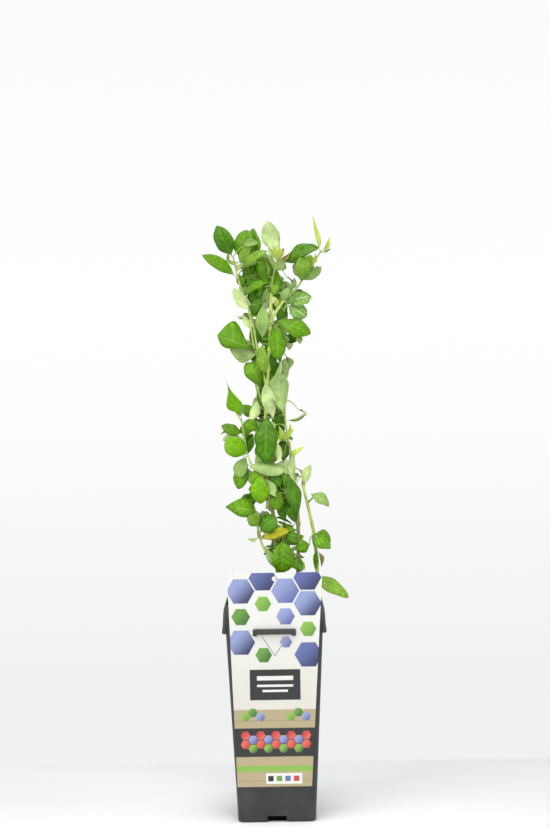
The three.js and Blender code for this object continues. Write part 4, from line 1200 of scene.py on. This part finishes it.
def leaf_tree():
    """A leaf of the form, place, turn and size that each point names."""
    tree, ins, outs = geometry_tree("leaves_on_points", [
        ("Leaf forms", "NodeSocketCollection", None),
        ("Upper finish", "NodeSocketMaterial", None),
        ("Under finish", "NodeSocketMaterial", None)])
    forms = add(tree, "GeometryNodeCollectionInfo", {
        "Collection": ins.outputs["Leaf forms"], "Separate Children": True,
        "Reset Children": True})
    named = {name: add(tree, "GeometryNodeInputNamedAttribute", {"Name": name}, data_type=kind)
             for name, kind in (("form", "INT"), ("way", "QUATERNION"), ("size", "FLOAT_VECTOR"),
                                ("underside", "BOOLEAN"))}
    set_out = add(tree, "GeometryNodeInstanceOnPoints", {
        "Points": ins.outputs["Geometry"], "Instance": forms.outputs[0], "Pick Instance": True,
        "Instance Index": named["form"].outputs["Attribute"],
        "Rotation": named["way"].outputs["Attribute"],
        "Scale": named["size"].outputs["Attribute"]})
    upper = real_in(tree, set_out.outputs["Instances"], ins.outputs["Upper finish"])
    under = add(tree, "GeometryNodeSetMaterial", {
        "Geometry": upper, "Material": ins.outputs["Under finish"],
        "Selection": named["underside"].outputs["Attribute"]})
    tree.links.new(under.outputs["Geometry"], outs.inputs["Geometry"])
    return tree


def twig_tree():
    """Round twigs along edges, as thick as each point's own radius."""
    tree, ins, outs = geometry_tree("twigs_on_edges", [
        ("Sides", "NodeSocketInt", 7), ("Finish", "NodeSocketMaterial", None)])
    radius = add(tree, "GeometryNodeInputNamedAttribute", {"Name": "radius_here"},
                 data_type="FLOAT")
    curves = add(tree, "GeometryNodeMeshToCurve", {"Mesh": ins.outputs["Geometry"]})
    ring = add(tree, "GeometryNodeCurvePrimitiveCircle", {
        "Resolution": ins.outputs["Sides"], "Radius": 1.0})
    tubes = add(tree, "GeometryNodeCurveToMesh", {
        "Curve": curves.outputs["Curve"], "Profile Curve": ring.outputs["Curve"],
        "Scale": radius.outputs["Attribute"], "Fill Caps": True})
    done = real_in(tree, tubes.outputs["Mesh"], ins.outputs["Finish"])
    tree.links.new(done, outs.inputs["Geometry"])
    return tree


# ---------------------------------------------------------------- the foliage's rule

TINTS = ("deep", "green", "fresh", "mild", "bright", "soft", "new", "yellow", "dry")
RULED_TINTS = ("deep", "green", "deep", "green", "soft", "deep", "fresh", "mild")
RULED_FORMS = ("blunt", "broad", "cupped", "drooping", "plain", "puckered", "twisted", "wavy")
PALE = {"under": "green", "pale": "fresh"}  # leaves that show their undersides
UNDERSIDES = {"deep": "underside", "green": "underside", "mild": "underside",
              "bright": "underside", "soft": "pale", "fresh": "pale"}
# The leaves of a ruled twig: place along it, and how far aside they head, in radians.
TWIG_LEAVES = [(0.35, 0.95), (0.7, -0.85), (1, 0.1), (0.52, -1.5), (0.88, 1.4), (0.2, -0.6)]
SIZES_TRIED = (1, 0.85, 0.7, 0.56)
TURNS_TRIED = (0, 25, -25, 50, -50)
COARSE, FINE, FINEST = (8, 4), (14, 8), (24, 16)  # rows and columns of a leaf's test points

leaves = {tint: [] for tint in TINTS}  # base, directions, width, length and form of each
twigs = []  # points, foot radius and tip radius of each
taken = {}  # the leaves' test points, by cell of the room round them
foremost = {}  # how far forward what shows stands, by cell of the front view


def leaf_frame(base, tip, turn, shown=False, under=False):
    """A leaf's directions across, along and off its upper side, which faces front and up."""
    along = (tip - base).normalized()
    facing = LEAF_FACING if tip.y > base.y + HEADS_BACK else -LEAF_FACING
    up = Vector((base.x * 0.01, facing, SHOWN_RISE if shown else RULED_RISE))
    up = (up - along * up.dot(along)).normalized()
    up = Matrix.Rotation(math.radians(turn), 3, along) @ up
    if under:
        up = -up
    return along.cross(up), along, up


def leaf_points(base, tip, width, directions, density, form="plain"):
    """Points spread over a leaf's blade, with its bare stalk left out."""
    rows, columns = density
    across, along, _ = directions
    power, widest = FORMS[form][6:8]
    length = (tip - base).length
    points = []
    for r in range(2, rows + 1):
        share = r / rows
        half = width * half_width(share, power, widest)
        for c in range(columns + 1):
            aside = 2 * c / columns - 1
            points.append(base + along * (share * length) + across * (aside * half))
    return points


def view_cell(point):
    """The cell of the front view that a point lies in."""
    return round(point.x / VIEW_CELL), round(point.z / VIEW_CELL)


def room_cell(point):
    """The cell of the room that a point lies in."""
    return tuple(math.floor(c / LEAF_GAP) for c in point)


def hide_behind(points):
    """Notes how far forward the shown leaves and limbs stand, cell by cell of the front view."""
    for p in points:
        cell = view_cell(p)
        foremost[cell] = min(foremost.get(cell, p.y), p.y)


def would_hide(points):
    """Whether a ruled leaf comes before, or close behind, what shows."""
    return any(p.y < foremost.get(view_cell(p), -math.inf) + BEHIND for p in points)


def stays_within(points):
    """Whether most of a ruled leaf lies behind what shows, so that it keeps the front's outline."""
    behind = sum(view_cell(p) in foremost for p in points)
    return behind >= WITHIN * len(points)


def reach_of(mass):
    """The lowest and highest corner of the room that a mass's ruled leaves keep to."""
    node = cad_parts[mass]
    corners = [node.matrix_world @ Vector(c) / MM for c in node.bound_box]
    low, high = ([side(c[k] for c in corners) for k in range(3)] for side in (min, max))
    return [c - OVERHANG for c in low], [c + OVERHANG for c in high]


def keeps_to(reach, points):
    """Whether a ruled leaf keeps to the room of its mass."""
    low, high = reach
    return all(low[k] <= p[k] <= high[k] for p in points for k in range(3))


def meets_leaf(point):
    """Whether a point comes near a leaf that is there already."""
    x, y, z = room_cell(point)
    near = ((x + dx, y + dy, z + dz) for dx, dy, dz in product((-1, 0, 1), repeat=3))
    return any((other - point).length < LEAF_GAP for cell in near for other in taken.get(cell, ()))


def meets_limb(point):
    """Whether a point comes near a limb."""
    for name, path in paths.items():
        foot, tip = LIMBS[name][:2]
        if not path[0].z - LIMB_ENDS < point.z < path[-1].z + LIMB_ENDS:
            continue
        near = min(path, key=lambda p: (p - point).length_squared)
        if (near - point).length < max(foot, tip) + LIMB_GAP:
            return True
    return False


def meets_pot(point):
    """Whether a point comes near the pot's collar or the label."""
    aside = max(abs(point.x), abs(point.y))
    in_collar = POT["collar_top_half"] - 4 < aside < POT["ledge_half"] + 2
    in_label = abs(point.x) < LABEL["top_half"] + 3 and point.y < 4 - wall_half(LABEL["top"])
    return (in_collar and point.z < POT["height"] + 2) or (in_label and point.z < LABEL["top"] + 2)


def is_clear(points):
    """Whether a ruled leaf keeps clear of the soil, the pot, leaves and limbs."""
    return all(p.z > SOIL_TOP + SOIL_GAP and not meets_pot(p) and not meets_leaf(p)
               and not meets_limb(p) for p in points)


def form_number(form, base):
    """Which leaf form in the collection: the kind, and a variant picked by place."""
    variant = int(chance(base.x, base.y, base.z) * VARIANTS)
    return FORM_NAMES.index(form) * VARIANTS + variant


def put_leaf(base, tip, width, tint, turn, form, shown=False):
    """Notes a leaf to be made, and the room that it takes."""
    directions = leaf_frame(base, tip, turn, shown, tint in PALE)
    for point in leaf_points(base, tip, width, directions, COARSE):
        taken.setdefault(room_cell(point), []).append(point)
    if shown:
        hide_behind(leaf_points(base, tip, width, directions, FINEST, form))
    leaves[PALE.get(tint, tint)].append(
        (base, directions, width, (tip - base).length, form_number(form, base)))


def arc(start, leave, end, steps=6):
    """A short curved twig from start, first heading along leave, to end."""
    reach = (end - start).length
    middle = start + leave.normalized() * (0.45 * reach)
    return [start.lerp(middle, k / steps).lerp(middle.lerp(end, k / steps), k / steps)
            for k in range(steps + 1)]


def heading_of(heading, rise):
    """The direction of two angles in radians, round +Z and up."""
    return Vector((math.cos(rise) * math.cos(heading), math.cos(rise) * math.sin(heading),
                   math.sin(rise)))


def place_on(path, share):
    """The point at a share of a mass's stem between its bare ends, and the stem's way there."""
    length = sum((q - p).length for p, q in zip(path, path[1:]))
    want = (FOOT_LENGTH + (length - TIP_LENGTH - FOOT_LENGTH) * share) / length * (len(path) - 1)
    i = min(len(path) - 2, int(want))
    return path[i].lerp(path[i + 1], want - i), (path[i + 1] - path[i]).normalized()


def nearest_place(path, base):
    """Where a leaf's stalk leaves its mass's stem: nearby, and rather below the leaf than above."""
    def cost(k):
        centre = path[k]
        return (centre - base).length + 0.8 * max(0.0, centre.z + 3 - base.z)
    first = min(len(path) - 2, round(FOOT_LENGTH / (path[1] - path[0]).length) + 1)
    k = min(range(first, len(path)), key=cost)
    return path[k], (path[k] - path[k - 1]).normalized()


def ruled_leaf(room, base, way, rise, full, side, seed, i):
    """The first of the sizes and turns tried that fits at base, largest first, or None."""
    along = heading_of(way, rise + spread(seed, i, 8, 0.4))
    slim = 0.54 + spread(seed, i, 9, 0.07)
    tint = RULED_TINTS[int(chance(seed, i, 11) * len(RULED_TINTS))]
    form = RULED_FORMS[int(chance(seed, i, 12) * len(RULED_FORMS))]
    roll = spread(seed, i, 5, 35) + 50 * along.y * side
    for part, turn in product(SIZES_TRIED, TURNS_TRIED):
        tip = base + along * (full * part)
        width = full * part * slim
        points = leaf_points(base, tip, width, leaf_frame(base, tip, roll + turn), FINE)
        if (keeps_to(room, points) and stays_within(points) and not would_hide(points)
                and is_clear(points[::2])):
            return base, tip, width, tint, roll + turn, form
    return None


def ruled_twig(mass, path, seed, size, heading, count, number):
    """A twig of the rule, round the stem by the golden angle, with leaves to each side of it."""
    i = 20 + 5 * number
    start, stem_way = place_on(path, TWIGGED[0] + TWIGGED[1] * (number + 0.5) / count)
    way = math.radians(heading + number * GOLDEN_ANGLE + spread(seed, i, 1, 20))
    rise = math.radians(15 + spread(seed, i, 2, 50))
    reach = size * (0.5 + 0.3 * chance(seed, i, 3))
    end = start + heading_of(way, rise) * reach
    room, borne = reach_of(mass), []
    for n, (share, aside) in enumerate(TWIG_LEAVES):
        full = size * (1 + spread(seed, i + n, 4, 0.2)) * (1 if n < 3 else 0.8)
        leaf = ruled_leaf(room, start.lerp(end, share), way + aside, rise, full, (-1) ** n,
                          seed, i + n)
        if leaf:
            borne.append(leaf)
    if borne:
        course = arc(start, stem_way + heading_of(way, rise), end)
        twigs.append((course, TWIG_RADIUS, PETIOLE_RADIUS))
        for leaf in borne:
            put_leaf(*leaf)


def shown_leaf(stem, base, tip, width, tint, turn, form):
    """A leaf of the plan, with the twig that carries it from its mass's stem."""
    base, tip = Vector(base), Vector(tip)
    start, way = nearest_place(stem, base)
    along = (tip - base).normalized()
    if (base - start).length > 1:
        twigs.append((arc(start, way + along, base + along), *SHOWN_PETIOLE))
    put_leaf(base, tip, width, tint, turn, form, shown=True)


def grow_masses():
    """The leaves that show first, and then the ruled ones in the room behind them."""
    stems = {}
    for name, (source, height, _, route, shown) in MASSES.items():
        stems[name] = course_of(source, height, route, STEM_SPACING)
        twigs.append((stems[name], STEM_RADIUS, STEM_TAPER * STEM_RADIUS))
        for leaf in shown:
            shown_leaf(stems[name], *leaf)
    for path in paths.values():
        for centre in path:
            hide_behind(centre + Vector((aside, 0, 0)) for aside in (-LIMB_COVER, 0, LIMB_COVER))
    for name, (_, _, (count, size, heading, seed), _, _) in MASSES.items():
        for number in range(count):
            ruled_twig(name, stems[name], seed, size, heading, count, number)


def points_object(name, rows):
    """A mesh of bare points that carry each leaf's form, way and size."""
    piece = mesh_object(name, [base for base, *_ in rows], [])
    for kind, data in (("form", "INT"), ("way", "QUATERNION"), ("size", "FLOAT_VECTOR")):
        piece.data.attributes.new(kind, data, "POINT")
    marks = piece.data.attributes
    for i, (_, (across, along, up), width, length, form) in enumerate(rows):
        turn = Matrix((across, along, up)).transposed().to_quaternion()
        marks["form"].data[i].value = form
        marks["way"].data[i].value = turn
        marks["size"].data[i].vector = Vector((width, length, length)) * MM
    return piece


def make_leaves():
    """One piece for each tint, with every leaf of that tint."""
    forms = bpy.data.collections.new("leaf_forms")
    made = [leaf_form(name, variant) for name in FORM_NAMES for variant in range(VARIANTS)]
    for form in made:
        forms.objects.link(form)
    tree = leaf_tree()
    finishes = {kind: leaf_finish(kind) for kind in LEAF_LOOKS}
    masses = list(MASSES)
    for tint in TINTS:
        piece = points_object("leaves_" + tint, leaves[tint])
        grown(piece, tree, {
            "Leaf forms": forms, "Upper finish": finishes[tint],
            "Under finish": finishes[UNDERSIDES.get(tint, tint)]})
        finished(piece, "leaves", replaces=masses)
    removed(*made)
    bpy.data.collections.remove(forms)


def make_twigs():
    """All twigs, and the masses' own stems, as one piece."""
    vertices, edges, radii = [], [], []
    for points, foot, tip in twigs:
        start = len(vertices)
        vertices += points
        radii += [(foot + (tip - foot) * k / (len(points) - 1)) * MM for k in range(len(points))]
        edges += [(start + k, start + k + 1) for k in range(len(points) - 1)]
    piece = mesh_object("twigs", vertices, [], edges)
    mark = piece.data.attributes.new("radius_here", "FLOAT", "POINT")
    mark.data.foreach_set("value", radii)
    grown(piece, twig_tree(), {"Finish": bark_finish("green_twig")})
    piece.data.shade_smooth()
    finished(piece, "bark", replaces=list(MASSES))


# ---------------------------------------------------------------- stage, light and camera

# Place and sensor in millimetres, focal length and height of the picture in pixels, and roll in
# degrees.
CAMERA = {"x": 4.3, "distance": 2050, "height": 430.3, "focal": 1905, "picture": 828,
          "roll": 0.9, "sensor": 36}
TABLE_EDGE = 305  # behind the pot's middle
TABLE_REACH = 1500  # to the front and sides
TABLE_TOP = -0.2  # just under the pot's foot
TABLE_COLOUR = (0.84, 0.85, 0.845, 1.0)
AMBIENT = 0.32  # how much the surround lights
# How light the backdrop is: places from 0 below the horizon to 1 above it, with their values.
BACKDROP = [(0.0, 0.885), (0.16, 0.875), (0.5, 0.99), (0.64, 1.0), (1.0, 0.975)]
BACKDROP_RISE = 0.2  # the rise of a view, up or down, where the backdrop's ramp ends
BACKDROP_CAST = (0.992, 1, 0.996)  # its slight tint

# Name, place, aim and size in metres and power of each soft light, and the spread in degrees of
# the narrow one that lights the floor before the pot.
LIGHTS = [
    ("key", (-1.1, -1.4, 1.6), (0, 0, 0.4), (1.2, 1.2), 20),
    ("left", (-1.9, -0.6, 0.6), (0, 0, 0.3), (0.8, 1.6), 8.5),
    ("right", (1.9, -0.6, 0.6), (0, 0, 0.3), (0.8, 1.6), 10),
    ("top", (0.1, -0.2, 1.9), (0, 0, 0.4), (1.2, 1.2), 15),
    ("front", (0.3, -2.4, 1.0), (0, 0, 0.05), (2.2, 0.8), 22.5),
    ("foot", (0.05, -0.5, 1.25), (0.01, -0.07, 0), (0.3, 0.3), 0.14, 30),
]


def make_stage():
    """A pale table that ends behind the pot."""
    corners = [(-TABLE_REACH, -TABLE_REACH), (TABLE_REACH, -TABLE_REACH),
               (TABLE_REACH, TABLE_EDGE), (-TABLE_REACH, TABLE_EDGE)]
    floor = mesh_object("floor", [(x, y, TABLE_TOP) for x, y in corners], [(0, 1, 2, 3)])
    material, _, _ = new_material("pale_table", Roughness=0.6, Base_Color=TABLE_COLOUR)
    floor.data.materials.append(material)


def area_light(name, place, aim, size, power, cone=180):
    light = bpy.data.lights.new(name, "AREA")
    light.shape = "RECTANGLE"
    light.size, light.size_y = size
    light.energy = power
    light.spread = math.radians(cone)
    made = linked(name, light)
    made.location = place
    made.rotation_euler = (Vector(aim) - Vector(place)).to_track_quat("-Z", "Y").to_euler()


def studio_world():
    """A soft white surround, brighter to the eye and in reflections than what it lights with."""
    world = bpy.data.worlds.new("studio")
    world.use_nodes = True
    tree = world.node_tree
    way = add(tree, "ShaderNodeTexCoord").outputs["Generated"]
    rise = add(tree, "ShaderNodeSeparateXYZ", {0: way}).outputs["Z"]
    ramp = tree.nodes.new("ShaderNodeValToRGB")
    tree.links.new(ranged(tree, rise, -BACKDROP_RISE, BACKDROP_RISE, kind="LINEAR"),
                   ramp.inputs["Fac"])
    stops = ramp.color_ramp.elements
    while len(stops) < len(BACKDROP):
        stops.new(0.5)
    for stop, (place, value) in zip(stops, BACKDROP):
        stop.position = place
        stop.color = (*(value * cast for cast in BACKDROP_CAST), 1)
    rays = add(tree, "ShaderNodeLightPath")
    seen = math_of(tree, "MAXIMUM", rays.outputs["Is Camera Ray"], rays.outputs["Is Glossy Ray"])
    lit = mixed(tree, seen, (AMBIENT, AMBIENT, AMBIENT, 1), ramp.outputs["Color"])
    tree.links.new(lit, tree.nodes["Background"].inputs["Color"])
    return world


def make_light():
    bpy.context.scene.world = studio_world()
    for light in LIGHTS:
        area_light(*light)
    bpy.context.scene.view_settings.view_transform = "Standard"


def make_camera():
    """A camera before the pot, turned a little about its own axis."""
    data = bpy.data.cameras.new("camera")
    data.sensor_width = CAMERA["sensor"]
    data.lens = CAMERA["focal"] / CAMERA["picture"] * CAMERA["sensor"]
    data.clip_start = 0.05
    made = linked("camera", data)
    roll = math.radians(CAMERA["roll"])
    right = Vector((math.cos(roll), 0, -math.sin(roll)))
    up = Vector((math.sin(roll), 0, math.cos(roll)))
    turn = Matrix((right, up, Vector((0, -1, 0)))).transposed()
    place = Vector((CAMERA["x"], -CAMERA["distance"], CAMERA["height"])) * MM
    made.matrix_world = Matrix.Translation(place) @ turn.to_4x4()
    bpy.context.scene.camera = made


# ---------------------------------------------------------------- the whole

make_camera()
make_pot()
make_soil()
make_crumbs()
finish_label()
make_limbs()
grow_masses()
make_leaves()
make_twigs()
make_stage()
make_light()
